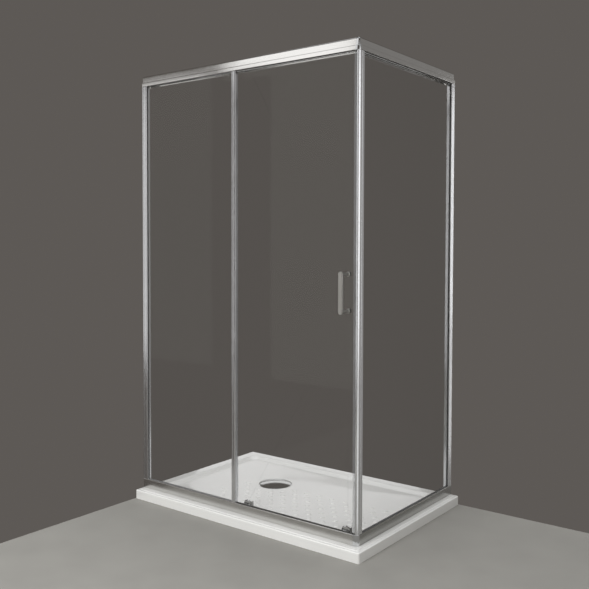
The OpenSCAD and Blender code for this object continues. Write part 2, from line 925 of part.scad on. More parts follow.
module track_stops() {
    stop_d1 = rail_depth - rail_t - thin;
    lead_stop_x = lead_x + wheel_r + fit;
    trail_stop_x = trail_x - door_travel - wheel_r - fit - stop_l;
    color("black") for (x = [lead_stop_x, trail_stop_x])
        block([x, front_y + stop_d1 - stop_w, top_z + flange_z + flange_t],
            [x + stop_l, front_y + stop_d1, top_z + flange_z + flange_t + stop_h]);
}

// Places of the four rollers as x and z
roller_places = [[lead_x, top_wheel_z], [trail_x, top_wheel_z], [lead_x, low_hole_z],
    [trail_x, low_hole_z]];
low_places = [[lead_x, low_hole_z], [trail_x, low_hole_z]];
top_places = [[lead_x, top_wheel_z], [trail_x, top_wheel_z]];
handle_heights = [handle_z - handle_span / 2, handle_z + handle_span / 2];

module door_glass() {
    color("lightblue", 0.35) difference() {
        block([door_x0, front_y + door_d, door_z0], [door_x1, front_y + door_d1, door_z1]);
        for (p = roller_places)
            bar_y(p[0], p[1], glass_hole_r, door_d - over, door_d1 + over);
        for (z = handle_heights)
            bar_y(handle_x, z, handle_hole_r, door_d - over, door_d1 + over);
    }
}

// Clip round a pane's edge in plan, which opens towards x = 0
module edge_clip(l) {
    difference() {
        rect(-l, -clip_t, clip_web, glass_t + clip_t);
        rect(-l - over, 0, 0, glass_t);
    }
}

module door_magnet_seal() {
    head_x0 = clip_web;
    head_x1 = seal_w - seal_clip_w;
    color("lightgray") translate([door_x1, front_y + door_d, door_z0])
        linear_extrude(door_z1 - door_z0) {
            edge_clip(seal_clip_w);
            difference() {
                rect(0, 0, head_x1, glass_t);
                rect(head_x0 + clip_t, clip_t, head_x1 - clip_t, glass_t - clip_t);
            }
        }
}

module door_edge_seal() {
    color("lightgray") translate([door_x0, front_y + door_d, door_z0])
        linear_extrude(door_z1 - door_z0) mirror([1, 0]) edge_clip(seal_clip_w / 2);
}

// Handle

module handle() {
    bar_z0 = handle_heights[0] - handle_end;
    bar_z1 = handle_heights[1] + handle_end;
    post_d = door_d - handle_gap;
    foot_d = door_d - handle_washer_t;
    color("silver") difference() {
        union() {
            translate([handle_x - handle_w / 2, handle_y1, bar_z0]) rotate([90, 0, 0])
                linear_extrude(handle_t)
                    soft_rect(handle_w, bar_z1 - bar_z0, [for (i = [0 : 3]) handle_w / 2]);
            for (z = handle_heights) {
                bar_y(handle_x, z, handle_post_r, post_d - thin, foot_d);
                bar_y(handle_x, z, handle_foot_r, foot_d - handle_foot_t, foot_d);
            }
        }
        for (z = handle_heights)
            bar_y(handle_x, z, handle_screw_r + screw_play, foot_d - handle_thread - over,
                foot_d + over);
    }
}

// Washer that also fills the hole in the pane round the screw
module handle_washers() {
    color("lightgray") for (z = handle_heights) difference() {
        union() {
            bar_y(handle_x, z, handle_foot_r, door_d - handle_washer_t, door_d);
            bar_y(handle_x, z, handle_hole_r - fit, door_d - thin, door_d1);
            bar_y(handle_x, z, handle_foot_r, door_d1, door_d1 + handle_washer_t);
        }
        bar_y(handle_x, z, handle_screw_r + screw_play, door_d - handle_washer_t - over,
            door_d1 + handle_washer_t + over);
    }
}

module handle_screws() {
    seat = door_d1 + handle_washer_t;
    color("silver") for (z = handle_heights) {
        bar_y(handle_x, z, handle_screw_r, door_d - handle_thread, seat + thin);
        translate([handle_x, front_y + seat, z]) rotate([-90, 0, 0]) rotate_extrude() {
            square([handle_foot_r, handle_cap_t / 2]);
            translate([0, handle_cap_t / 2]) dome_section(handle_foot_r, handle_cap_t / 2);
        }
    }
}

// Rollers

// Domed cap whose boss runs through the pane, with a coin slot across the dome
module roller_cap() {
    difference() {
        union() {
            rotate_extrude() {
                square([roller_cap_r, cap_t - cap_rise]);
                translate([0, cap_t - cap_rise]) dome_section(roller_cap_r, cap_rise);
            }
            translate([0, 0, -glass_t - washer_t + thin])
                cylinder(h = glass_t + washer_t, r = boss_r);
        }
        rotate(slot_angle) translate([-roller_cap_r, -slot_w / 2, cap_t - slot_h])
            cube([2 * roller_cap_r, slot_w, slot_h + over]);
        translate([0, 0, -glass_t - washer_t - over])
            cylinder(h = glass_t + washer_t + over + cap_bore, r = axle_r + axle_play);
    }
}

module roller_caps() {
    color("dimgray") for (p = roller_places)
        translate([p[0], front_y + door_d - washer_t, p[1]]) rotate([90, 0, 0]) roller_cap();
}

module roller_washers() {
    color("white") for (p = roller_places) difference() {
        bar_y(p[0], p[1], washer_r, door_d - washer_t, door_d);
        bar_y(p[0], p[1], glass_hole_r, door_d - washer_t - over, door_d + over);
    }
}

module top_roller_spacers() {
    color("white") for (p = top_places) difference() {
        bar_y(p[0], p[1], bracket_r, door_d1, bracket_d1);
        bar_y(p[0], p[1], axle_r + axle_play, door_d1 - over, bracket_d1 + over);
    }
}

// Bolt that carries a wheel, from its tip at depth d0 to its head outside the wheel
module wheel_bolt(x, z, d0) {
    seat = wheel_d1 + bolt_play;
    bar_y(x, z, axle_r, d0, seat + thin);
    bar_y(x, z, bolt_head_r, seat, seat + bolt_head_t);
}

module top_roller_bolts() {
    color("silver") for (p = top_places) wheel_bolt(p[0], p[1], bolt_d0);
}

module wheel(x, z) {
    half = wheel_d1 - wheel_d0;
    groove_at = track_d - wheel_d0;
    color("white") translate([x, front_y + wheel_d0, z]) rotate([-90, 0, 0]) rotate_extrude()
        difference() {
            rect(axle_r + axle_play, 0, wheel_r, half);
            translate([bead_touch_r + groove_r, groove_at]) circle(groove_r);
            rect(bead_touch_r + groove_r, groove_at - groove_r, wheel_r + over,
                groove_at + groove_r);
        }
}

// Housing of a lower roller, drawn with its middle at x = 0 and depth as y
module housing() {
    inner_x = housing_x - housing_wall;
    difference() {
        block([-housing_x, door_d1, housing_z0], [housing_x, housing_d1, housing_z1]);
        block([-inner_x, door_d1 + housing_back, housing_z0 - over],
            [inner_x, housing_d1 - housing_skin, housing_z1 - housing_wall]);
        block([-housing_x - over, door_d1 + housing_back, housing_z0 - over],
            [housing_x + over, housing_d1 + over, low_wheel_z + side_notch_h]);
        block([-inner_x, door_d1 + housing_back, housing_z0 - over],
            [inner_x, housing_d1 + over, low_wheel_z + wheel_r + carrier_travel + over]);
        translate([0, door_d1 - over, low_hole_z]) rotate([-90, 0, 0])
            cylinder(h = housing_back + 2 * over, r = axle_r + axle_play);
        translate([0, door_d1 + housing_back - bolt_head_t, low_hole_z]) rotate([-90, 0, 0])
            cylinder(h = bolt_head_t + over, r = bolt_head_r);
    }
    for (side = [-1, 1])
        block([side > 0 ? inner_x - ledge_w : -inner_x, plate_d1 + fit, ledge_z],
            [side > 0 ? inner_x : ledge_w - inner_x, housing_d1 - housing_skin,
             ledge_z + ledge_t]);
}

module lower_roller_housings() {
    color("white") for (x = [lead_x, trail_x]) translate([x, front_y, 0]) housing();
}

module lower_roller_screws() {
    seat = door_d1 + housing_back - bolt_head_t;
    color("silver") for (p = low_places) {
        bar_y(p[0], p[1], axle_r, bolt_d0, seat + thin);
        bar_y(p[0], p[1], low_head_r, seat, seat + bolt_head_t);
    }
}

// Top of a carrier's tab, where its spring stands
tab_z = ledge_z + ledge_t + fit;
spring_z0 = tab_z + tab_t;
spring_z1 = housing_z1 - housing_wall;
spring_d = (plate_d1 + housing_d1 - housing_skin) / 2;

module carrier(x) {
    tab_d1 = housing_d1 - housing_skin - fit;
    color("silver") {
        translate([x, front_y, 0]) {
            block([-plate_x, plate_d0, plate_z0], [plate_x, plate_d1, spring_z0]);
            block([-plate_x, plate_d0, tab_z], [plate_x, tab_d1, spring_z0]);
        }
        wheel_bolt(x, low_wheel_z, plate_d0 + thin);
    }
}

module lead_carrier() {
    carrier(lead_x);
}

module trail_carrier() {
    carrier(trail_x);
}

module spring(x) {
    color("silver") translate([x, front_y + spring_d, spring_z0]) difference() {
        cylinder(h = spring_z1 - spring_z0, r = spring_r);
        translate([0, 0, -over])
            cylinder(h = spring_z1 - spring_z0 + 2 * over, r = spring_r - spring_wall);
    }
}

module lead_spring() {
    spring(lead_x);
}

module trail_spring() {
    spring(trail_x);
}

module lead_top_wheel() {
    wheel(lead_x, top_wheel_z);
}

module trail_top_wheel() {
    wheel(trail_x, top_wheel_z);
}

module lead_low_wheel() {
    wheel(lead_x, low_wheel_z);
}

module trail_low_wheel() {
    wheel(trail_x, low_wheel_z);
}

tray();
waste_flange();
waste_cover();
wall_channel_left();
wall_channel_back();
stile_left();
stile_back();
stile_screws();
bottom_rail_front();
bottom_rail_side();
top_rail_front();
top_rail_side();
rail_screws();
corner_block_bottom();
corner_block_top();
corner_cover_bottom();
corner_cover_top();
corner_post();
post_magnet_strip();
mid_post();
mid_post_seal();
fixed_glass();
fixed_glass_gasket();
side_glass();
side_glass_gasket();
track_stops();
door_glass();
door_magnet_seal();
door_edge_seal();
handle();
handle_washers();
handle_screws();
roller_caps();
roller_washers();
top_roller_spacers();
top_roller_bolts();
lower_roller_housings();
lower_roller_screws();
lead_carrier();
trail_carrier();
lead_spring();
trail_spring();
lead_top_wheel();
trail_top_wheel();
lead_low_wheel();
trail_low_wheel();
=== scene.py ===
"""Corner shower enclosure: the visible pieces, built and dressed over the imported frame.

Lengths are in metres. X runs along the door side from the left wall to the free corner, Y
from the door side to the back wall, and Z up from the floor.
"""
import logging
import math
from collections.abc import Callable, Sequence
from dataclasses import dataclass, field
from enum import Enum
from functools import cached_property
from typing import ClassVar, Union

import bmesh
import bpy
from mathutils import Matrix, Vector
from mathutils.bvhtree import BVHTree


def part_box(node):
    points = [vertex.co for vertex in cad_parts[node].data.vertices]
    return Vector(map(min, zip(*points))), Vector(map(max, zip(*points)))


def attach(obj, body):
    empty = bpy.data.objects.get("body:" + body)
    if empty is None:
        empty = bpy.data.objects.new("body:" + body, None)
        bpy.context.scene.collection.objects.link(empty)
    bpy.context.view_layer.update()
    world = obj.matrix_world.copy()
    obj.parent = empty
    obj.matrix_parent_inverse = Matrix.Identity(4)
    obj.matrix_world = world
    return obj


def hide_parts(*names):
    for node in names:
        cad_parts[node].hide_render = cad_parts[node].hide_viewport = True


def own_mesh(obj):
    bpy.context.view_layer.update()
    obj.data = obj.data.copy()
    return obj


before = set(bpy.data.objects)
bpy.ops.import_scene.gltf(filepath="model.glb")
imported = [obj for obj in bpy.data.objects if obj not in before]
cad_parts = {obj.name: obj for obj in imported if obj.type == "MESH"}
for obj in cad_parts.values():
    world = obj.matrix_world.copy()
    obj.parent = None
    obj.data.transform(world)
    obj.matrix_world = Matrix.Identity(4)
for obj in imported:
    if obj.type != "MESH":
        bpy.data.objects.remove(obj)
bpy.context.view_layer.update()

log = logging.getLogger("shower")

Number = Union[int, float]
Point = tuple[float, float, float]
Pair = tuple[float, float]
Colour = tuple[float, float, float]
Corner = tuple[float, float, float]

MM = 0.001
SAME_PLACE = 0.000001
# Name of the point attribute that marks the raised dots for a painted highlight.
PAINTED_DOT_HIGHLIGHT = "painted_dot_highlight"
WALL_X = -0.600
WALL_Y = 0.400
FRONT_Y = -0.356
SIDE_X = 0.566
RIM_Z = 0.040
LOW_RAIL_TOP = 0.082
TOP_RAIL_Z = 1.842


class Axis(Enum):
    """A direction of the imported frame, by its number."""

    X = 0
    Y = 1
    Z = 2

    @property
    def vector(self) -> Vector:
        """The unit vector along this axis."""
        return Vector([float(i == self.value) for i in range(3)])


class Wire:
    """A shader output that takes part in Python arithmetic by adding Math nodes."""

    def __init__(self, recipe: "Recipe", socket: bpy.types.NodeSocket) -> None:
        """Keeps an output and the recipe that owns it."""
        self.recipe = recipe
        self.socket = socket

    def _sum(self, operation: str, *terms: "Term") -> "Wire":
        """Adds one Math node, with its inputs in order."""
        return self.recipe.wire("ShaderNodeMath", {"operation": operation},
                                dict(enumerate(terms)))

    def __add__(self, other: "Term") -> "Wire":
        """This plus other."""
        return self._sum("ADD", self, other)

    def __sub__(self, other: "Term") -> "Wire":
        """This minus other."""
        return self._sum("SUBTRACT", self, other)

    def __rsub__(self, other: "Term") -> "Wire":
        """Other minus this."""
        return self._sum("SUBTRACT", other, self)

    def __mul__(self, other: "Term") -> "Wire":
        """This times other."""
        return self._sum("MULTIPLY", self, other)

    def __pow__(self, other: "Term") -> "Wire":
        """This to the power of other."""
        return self._sum("POWER", self, other)

    def __rpow__(self, other: "Term") -> "Wire":
        """Other to the power of this."""
        return self._sum("POWER", other, self)

    __radd__ = __add__
    __rmul__ = __mul__

    def clamped(self) -> "Wire":
        """This held between 0 and 1."""
        return self.recipe.wire("ShaderNodeClamp", {}, {"Value": self})


Term = Union[Number, Wire]
Value = Union[Number, Sequence[float], Wire]


class Recipe:
    """A material, or the surroundings, in the making."""

    def __init__(self, owner: Union[bpy.types.Material, bpy.types.World]) -> None:
        """Starts an empty node tree.

        Args:
            owner: What the nodes are for.
        """
        owner.use_nodes = True
        self.owner = owner
        self.tree = owner.node_tree
        self.tree.nodes.clear()

    def node(self, kind: str, settings: dict[str, object],
             inputs: dict[Union[str, int], Value]) -> bpy.types.Node:
        """Adds a node.

        Args:
            kind: The node's type name.
            settings: Attributes that are set before its sockets.
            inputs: A value or a wire for each named or numbered socket.

        Returns:
            The node.
        """
        made = self.tree.nodes.new(kind)
        for name, value in settings.items():
            setattr(made, name, value)
        for name, value in inputs.items():
            if isinstance(value, Wire):
                self.tree.links.new(value.socket, made.inputs[name])
            else:
                made.inputs[name].default_value = value
        return made

    def wire(self, kind: str, settings: dict[str, object],
             inputs: dict[Union[str, int], Value], output: Union[str, int] = 0) -> Wire:
        """Adds a node, as node does, and gives the wire from one of its outputs."""
        return Wire(self, self.node(kind, settings, inputs).outputs[output])

    def noise(self, size: float, stretch: Sequence[float] = (1, 1, 1),
              detail: float = 3.0) -> Wire:
        """Soft noise on the object's own coordinates.

        Args:
            size: Width of its patches in metres.
            stretch: How many times longer the patches are along X, Y and Z.
            detail: How many finer layers it has.

        Returns:
            A value about one half.
        """
        place = self.wire("ShaderNodeTexCoord", {}, {}, "Object")
        scaled = self.wire("ShaderNodeMapping", {},
                           {"Vector": place, "Scale": [1 / (size * s) for s in stretch]})
        return self.wire("ShaderNodeTexNoise", {},
                         {"Vector": scaled, "Scale": 1.0, "Detail": detail,
                          "Roughness": 0.55}, "Fac")

    def blend(self, share: Wire, first: Value, second: Colour) -> Wire:
        """Mixes two colours.

        Args:
            share: How much of the second colour shows.
            first: The colour at 0.
            second: The colour at 1.

        Returns:
            The mixed colour.
        """
        below = first if isinstance(first, Wire) else (*first, 1.0)
        return self.wire("ShaderNodeMix", {"data_type": "RGBA"},
                         {0: share, 6: below, 7: (*second, 1.0)}, 2)

    def towards(self, aim: Sequence[float], start: float, stop: float) -> Wire:
        """How closely a direction of the surroundings points at an aim.

        Args:
            aim: The direction aimed at.
            start: The cosine at which the result leaves 0.
            stop: The cosine at which the result reaches 1.

        Returns:
            A value from 0 to 1.
        """
        place = self.wire("ShaderNodeTexCoord", {}, {}, "Generated")
        cosine = self.wire("ShaderNodeVectorMath", {"operation": "DOT_PRODUCT"},
                           {0: place, 1: Vector(aim).normalized()}, "Value")
        return self.wire("ShaderNodeMapRange", {"interpolation_type": "SMOOTHSTEP"},
                         {"Value": cosine, "From Min": start, "From Max": stop})

    def bump(self, height: Wire, depth: float, strength: float) -> Wire:
        """Turns a height of 0 to 1, over a depth in metres, into a bent normal."""
        return self.wire("ShaderNodeBump", {},
                         {"Height": height, "Distance": depth, "Strength": strength})

    def finish(self, inputs: dict[Union[str, int], Value],
               shader: str = "ShaderNodeBsdfPrincipled",
               end: str = "ShaderNodeOutputMaterial"
               ) -> Union[bpy.types.Material, bpy.types.World]:
        """Closes the recipe with its shader.

        Args:
            inputs: What goes into the shader's sockets.
            shader: The shader's type name.
            end: The type name of the output after it.

        Returns:
            The finished material or surroundings.
        """
        self.node(end, {}, {"Surface": self.wire(shader, {}, inputs)})
        return self.owner


@dataclass(frozen=True)
class Finish:
    """A finish that pieces share.

    Args:
        slot: The record's material slot that it stands for.
        colour: Its base colour.
        roughness: Its mean roughness.
    """

    slot: str
    colour: Colour
    roughness: float
    tones: ClassVar[Pair] = (1.0, 1.0)

    @cached_property
    def material(self) -> bpy.types.Material:
        """The material, made on first use."""
        name = f"{self.slot} {type(self).__name__.lower()}"
        return self.mix(Recipe(bpy.data.materials.new(name)))

    def mix(self, recipe: Recipe) -> bpy.types.Material:
        """Fills the recipe and returns its finished material."""
        raise NotImplementedError

    def shade(self, factor: float) -> Colour:
        """The base colour times a factor."""
        return tuple(min(1.0, c * factor) for c in self.colour)

    def shaded(self, recipe: Recipe, share: Wire) -> Wire:
        """The base colour, varied between the finish's two tones."""
        return recipe.blend(share, *map(self.shade, self.tones))

    @staticmethod
    def swing(pattern: Wire, width: float) -> Wire:
        """A pattern about one half, as a change about 0 of the given width."""
        return (pattern - 0.5) * width


@dataclass(frozen=True)
class Acrylic(Finish):
    """Glossy cast acrylic with the faint ripple and haze of a moulded tray.

    Args:
        haze: How much its gloss varies.
        ripple: Depth of the ripple in metres.
        dot_highlight: How much lighter the raised spots are painted, as a painted highlight
            for the light that their polished tops catch.
    """

    haze: float = 0.08
    ripple: float = 0.00012
    dot_highlight: float = 1.13
    tones: ClassVar[Pair] = (0.975, 1.01)

    def mix(self, recipe: Recipe) -> bpy.types.Material:
        """Fills the recipe with a white gloss coat over a faintly uneven body, with a painted
        highlight on the raised dots.
        """
        patches = recipe.noise(0.16, detail=4.0)
        grain = recipe.noise(0.006)
        # The raised dots are painted lighter: a painted highlight standing in for light caught
        # on their polished tops.
        dot_highlight = recipe.wire("ShaderNodeAttribute", {"attribute_name": PAINTED_DOT_HIGHLIGHT}, {}, "Fac")
        return recipe.finish({
            "Base Color": recipe.blend(dot_highlight, self.shaded(recipe, patches),
                                       self.shade(self.dot_highlight)),
            "Roughness": self.swing(patches, self.haze) + grain * 0.03 + self.roughness,
            "Coat Weight": 0.8,
            "Coat Roughness": 0.05,
            "Normal": recipe.bump(patches, self.ripple, 0.5)})


@dataclass(frozen=True)
class Extrusion(Finish):
    """Anodised or polished aluminium, with fine die lines along its run.

    Args:
        along: The direction that the section was drawn in.
        lines: How strongly the die lines change the gloss.
        depth: Depth of the die lines in metres.
    """

    along: Axis = Axis.Z
    lines: float = 0.08
    depth: float = 0.000004
    tones: ClassVar[Pair] = (0.88, 1.08)
    drawn_out: ClassVar[float] = 401.0

    def mix(self, recipe: Recipe) -> bpy.types.Material:
        """Fills the recipe with stretched lines over slow patches."""
        stretch = [self.drawn_out if a is self.along else 1.0 for a in Axis]
        streaks = recipe.noise(0.004, stretch, detail=4.0)
        patches = recipe.noise(0.09, detail=2.0)
        return recipe.finish({
            "Base Color": self.shaded(recipe, streaks * 0.7 + patches * 0.3),
            "Metallic": 1.0,
            "Roughness": (self.swing(streaks, self.lines) + self.swing(patches, 0.06)
                          + self.roughness).clamped(),
            "Normal": recipe.bump(streaks, self.depth, 0.4)})


@dataclass(frozen=True)
class Chrome(Finish):
    """Mirror plate with the dull bloom that fingers and water leave.

    Args:
        bloom: How much duller the touched patches are.
    """

    bloom: float = 0.10
    tones: ClassVar[Pair] = (0.94, 1.04)

    def mix(self, recipe: Recipe) -> bpy.types.Material:
        """Fills the recipe with a mirror whose gloss drops in soft patches."""
        marks = recipe.noise(0.018, detail=5.0)
        fine = recipe.noise(0.0012)
        return recipe.finish({
            "Base Color": self.shaded(recipe, marks),
            "Metallic": 1.0,
            "Roughness": (marks ** 2.0 * self.bloom + self.roughness).clamped(),
            "Normal": recipe.bump(fine, 0.000006, 0.25)})


@dataclass(frozen=True)
class ClearGlass(Finish):
    """A thin toughened pane: see-through when faced, a mirror at a glance.

    Args:
        facing: Share of light that a surface holds back when looked at squarely.
    """

    facing: float = 0.10
    tones: ClassVar[Pair] = (0.97, 1.03)

    def mix(self, recipe: Recipe) -> bpy.types.Material:
        """Fills the recipe with a mirror whose cover grows towards grazing angles."""
        away = recipe.wire("ShaderNodeLayerWeight", {}, {"Blend": 0.5}, "Facing")
        film = recipe.noise(0.12, (1, 1, 2), detail=3.0)
        cover = away ** 5.0 * (1 - self.facing) + self.facing
        return recipe.finish({
            "Base Color": self.shaded(recipe, film),
            "Metallic": 1.0,
            "Roughness": film * 0.01 + self.roughness,
            "Alpha": (cover + self.swing(film, 0.006)).clamped()})


@dataclass(frozen=True)
class Moulded(Finish):
    """Moulded plastic, nylon, vinyl or rubber with a fine skin.

    Args:
        grain: Width of the skin's grain in metres.
        depth: Depth of the grain in metres.
        body: Share of the light that it stops; under 1 for clear vinyl.
    """

    grain: float = 0.0006
    depth: float = 0.00003
    body: float = 1.0
    tones: ClassVar[Pair] = (0.9, 1.08)
    patch: ClassVar[float] = 40.0

    def mix(self, recipe: Recipe) -> bpy.types.Material:
        """Fills the recipe with a grained body that thins out where it is clear."""
        skin = recipe.noise(self.grain)
        patches = recipe.noise(self.grain * self.patch, detail=2.0)
        inputs: dict[Union[str, int], Value] = {
            "Base Color": self.shaded(recipe, patches),
            "Roughness": (self.swing(patches, 0.15) + self.swing(skin, 0.1)
                          + self.roughness).clamped(),
            "Normal": recipe.bump(skin, self.depth, 0.5)}
        if self.body < 1.0:
            inputs["Alpha"] = (self.swing(patches, 0.1) + self.body).clamped()
        return recipe.finish(inputs)


@dataclass(frozen=True)
class Palette:
    """Every finish of the enclosure."""

    tray: Finish = Acrylic("tray_acrylic", (0.86, 0.86, 0.84), 0.16)
    # One polished aluminium in four copies: the sill and side copies are painted darker than
    # the head rail's front copy, as painted shade, and the side sill copy is darkest.
    rail_front: Finish = Extrusion("polished_aluminium", (0.79, 0.785, 0.77), 0.13, Axis.X)
    rail_side_painted_shade: Finish = Extrusion("polished_aluminium", (0.56, 0.555, 0.545), 0.15, Axis.Y)
    sill_front_painted_shade: Finish = Extrusion("polished_aluminium", (0.66, 0.655, 0.635), 0.25, Axis.X)
    sill_side_painted_shade: Finish = Extrusion("polished_aluminium", (0.38, 0.38, 0.365), 0.24, Axis.Y)
    profile: Finish = Extrusion("bright_profile", (0.80, 0.81, 0.83), 0.20, Axis.Z, 0.10,
                                0.000012)
    channel: Finish = Extrusion("mill_aluminium", (0.62, 0.62, 0.62), 0.38, Axis.Z)
    chrome: Finish = Chrome("chrome", (0.66, 0.67, 0.68), 0.06)
    dome: Finish = Chrome("chrome", (0.84, 0.85, 0.85), 0.12, 0.08)
    satin: Finish = Extrusion("satin_steel", (0.58, 0.57, 0.54), 0.38, Axis.Z, 0.16,
                              0.000012)
    steel: Finish = Extrusion("steel", (0.56, 0.56, 0.56), 0.32, Axis.X, 0.15)
    glass: Finish = ClearGlass("clear_glass", (0.05, 0.053, 0.046), 0.03)
    seal: Finish = Moulded("clear_seal", (0.34, 0.35, 0.36), 0.38, 0.001, 0.00003, 0.16)
    magnet: Finish = Moulded("clear_seal", (0.20, 0.20, 0.195), 0.38, 0.001, 0.00003, 0.8)
    gasket: Finish = Moulded("grey_gasket", (0.30, 0.30, 0.30), 0.65)
    black: Finish = Moulded("black_plastic", (0.03, 0.03, 0.03), 0.45)
    nylon: Finish = Moulded("white_nylon", (0.85, 0.85, 0.83), 0.42)


PALETTE = Palette()


class Blank:
    """A mesh in the making, shaped by mesh operators.

    Edges that turn by more than soften_over, in degrees, are rounded by soften, and edges
    that turn by less than smooth_under are shaded smoothly.
    """

    soften_over = 40.0
    smooth_under = 35.0

    def __init__(self) -> None:
        """Starts empty."""
        self.bm = bmesh.new()

    def add(self, other: "Blank", place: Matrix = Matrix.Identity(4)) -> "Blank":
        """Takes in a copy of another blank.

        Args:
            other: The blank to copy.
            place: Where the copy goes.

        Returns:
            This blank.
        """
        spare = bpy.data.meshes.new("spare")
        other.bm.to_mesh(spare)
        spare.transform(place)
        self.bm.from_mesh(spare)
        bpy.data.meshes.remove(spare)
        return self

    def bevel(self, geom: Sequence[object], width: float, steps: int,
              affect: str = "EDGES", held: bool = False) -> None:
        """Rounds edges, or points.

        Args:
            geom: What is rounded.
            width: Width of the rounding.
            steps: Faces across it.
            affect: Whether geom holds edges or points.
            held: Whether roundings stop where they would overlap.
        """
        bmesh.ops.bevel(self.bm, geom=geom, offset=width, offset_type="OFFSET",
                        segments=steps, profile=0.5, affect=affect, material=-1,
                        clamp_overlap=held)

    def soften(self, width: float, steps: int) -> "Blank":
        """Rounds the sharp edges.

        Args:
            width: Width of the rounding.
            steps: Faces across it.

        Returns:
            This blank.
        """
        self.bm.normal_update()
        limit = math.radians(self.soften_over)
        edges = [e for e in self.bm.edges
                 if len(e.link_faces) == 2 and e.calc_face_angle(0.0) > limit]
        self.bevel(edges, width, steps, held=True)
        return self

    def closed(self) -> "Blank":
        """Merges doubles and points every face outwards."""
        bmesh.ops.remove_doubles(self.bm, verts=self.bm.verts, dist=SAME_PLACE)
        bmesh.ops.recalc_face_normals(self.bm, faces=self.bm.faces)
        return self

    def mesh(self, name: str) -> bpy.types.Mesh:
        """Turns the blank into a mesh.

        Args:
            name: The mesh's name.

        Returns:
            The mesh.
        """
        self.bm.normal_update()
        limit = math.radians(self.smooth_under)
        for face in self.bm.faces:
            face.smooth = True
        for edge in self.bm.edges:
            edge.smooth = len(edge.link_faces) == 2 and edge.calc_face_angle(0.0) < limit
        made = bpy.data.meshes.new(name)
        self.bm.to_mesh(made)
        self.bm.free()
        return made


def new_object(name: str, data: bpy.types.ID) -> bpy.types.Object:
    """Adds an object with the given data to the scene."""
    made = bpy.data.objects.new(name, data)
    bpy.context.scene.collection.objects.link(made)
    return made


def block(low: Point, high: Point) -> Blank:
    """A block between its lowest and its highest corner."""
    blank = Blank()
    made = bmesh.ops.create_cube(blank.bm, size=1.0)["verts"]
    size = Vector(high) - Vector(low)
    bmesh.ops.scale(blank.bm, vec=size, verts=made)
    bmesh.ops.translate(blank.bm, vec=Vector(low) + size / 2, verts=made)
    return blank


def outline(corners: Sequence[Corner], place: Callable[[float, float], Vector],
            steps: int) -> tuple[Blank, bmesh.types.BMFace]:
    """A flat section with rounded corners.

    Args:
        corners: Its corners in order, each as two coordinates and a radius in millimetres.
        place: Turns the two coordinates, in metres, into a point.
        steps: Faces across a rounded corner.

    Returns:
        The blank and its only face.
    """
    blank = Blank()
    points = [blank.bm.verts.new(place(a * MM, b * MM)) for a, b, _ in corners]
    blank.bm.faces.new(points)
    for point, (_, _, radius) in zip(points, corners, strict=True):
        if radius:
            blank.bevel([point], radius * MM, steps, "VERTICES")
    blank.bm.normal_update()
    blank.bm.faces.ensure_lookup_table()
    return blank, blank.bm.faces[0]


def drawn(corners: Sequence[Corner], place: Callable[[float, float], Vector], travel: Point,
          steps: int) -> Blank:
    """A section drawn out into a closed bar.

    Args:
        corners: The section's corners, as for outline.
        place: Where they lie, as for outline.
        travel: How far and where it is drawn.
        steps: Faces across a rounded corner.

    Returns:
        The bar.
    """
    blank, face = outline(corners, place, steps)
    made = bmesh.ops.extrude_face_region(blank.bm, geom=[face], use_keep_orig=True)["geom"]
    bmesh.ops.translate(blank.bm, vec=travel, verts=points_of(made))
    return blank.closed()


def front_bar(corners: Sequence[Corner], x0: float, x1: float, z: float) -> Blank:
    """A section of (depth, height over z) in millimetres, drawn along the door side."""
    return drawn(corners, lambda d, h: Vector((x0, FRONT_Y + d, z + h)), (x1 - x0, 0, 0), 10)


def side_bar(corners: Sequence[Corner], y0: float, y1: float, z: float) -> Blank:
    """A section of (depth, height over z) in millimetres, drawn along the short side."""
    return drawn(corners, lambda d, h: Vector((SIDE_X - d, y0, z + h)), (0, y1 - y0, 0), 10)


def upright(corners: Sequence[Corner], origin: Sequence[float], z0: float, z1: float,
            steps: int = 4) -> Blank:
    """A section in plan, in millimetres from its origin, drawn upwards from z0 to z1."""
    x, y = origin
    return drawn(corners, lambda a, b: Vector((x + a, y + b, z0)), (0, 0, z1 - z0), steps)


def box_corners(low: Sequence[float], high: Sequence[float], radius: float) -> list[Corner]:
    """The corners of a rectangle, given in metres, with one radius for all."""
    (x0, y0), (x1, y1) = low, high
    return [(x / MM, y / MM, radius / MM) for x, y in ((x0, y0), (x1, y0), (x1, y1), (x0, y1))]


def points_of(geom: Sequence[object]) -> list[bmesh.types.BMVert]:
    """The points among what a mesh operator returns."""
    return [g for g in geom if isinstance(g, bmesh.types.BMVert)]


def edges_of(geom: Sequence[object]) -> list[bmesh.types.BMEdge]:
    """The edges among what a mesh operator returns."""
    return [g for g in geom if isinstance(g, bmesh.types.BMEdge)]


def turned(profile: Sequence[Pair], centre: Point, axis: Axis = Axis.Z,
           steps: int = 48, forward: bool = True) -> Blank:
    """A profile spun round an axis.

    Args:
        profile: Its points in millimetres, as distance from the axis and place along it.
        centre: The point of the axis at place 0.
        axis: The axis.
        steps: Faces round it.
        forward: Whether places run with the axis or against it.

    Returns:
        The closed round shape.
    """
    blank = Blank()
    along = axis.vector * (1 if forward else -1)
    out = Axis((axis.value + 1) % 3).vector
    points = [blank.bm.verts.new(Vector(centre) + out * r * MM + along * h * MM)
              for r, h in profile]
    chain = [blank.bm.edges.new(pair) for pair in zip(points, points[1:])]
    bmesh.ops.spin(blank.bm, geom=points + chain, cent=centre, axis=axis.vector,
                   dvec=(0, 0, 0), angle=math.tau, steps=steps, use_merge=True,
                   use_duplicate=False)
    return blank.closed()


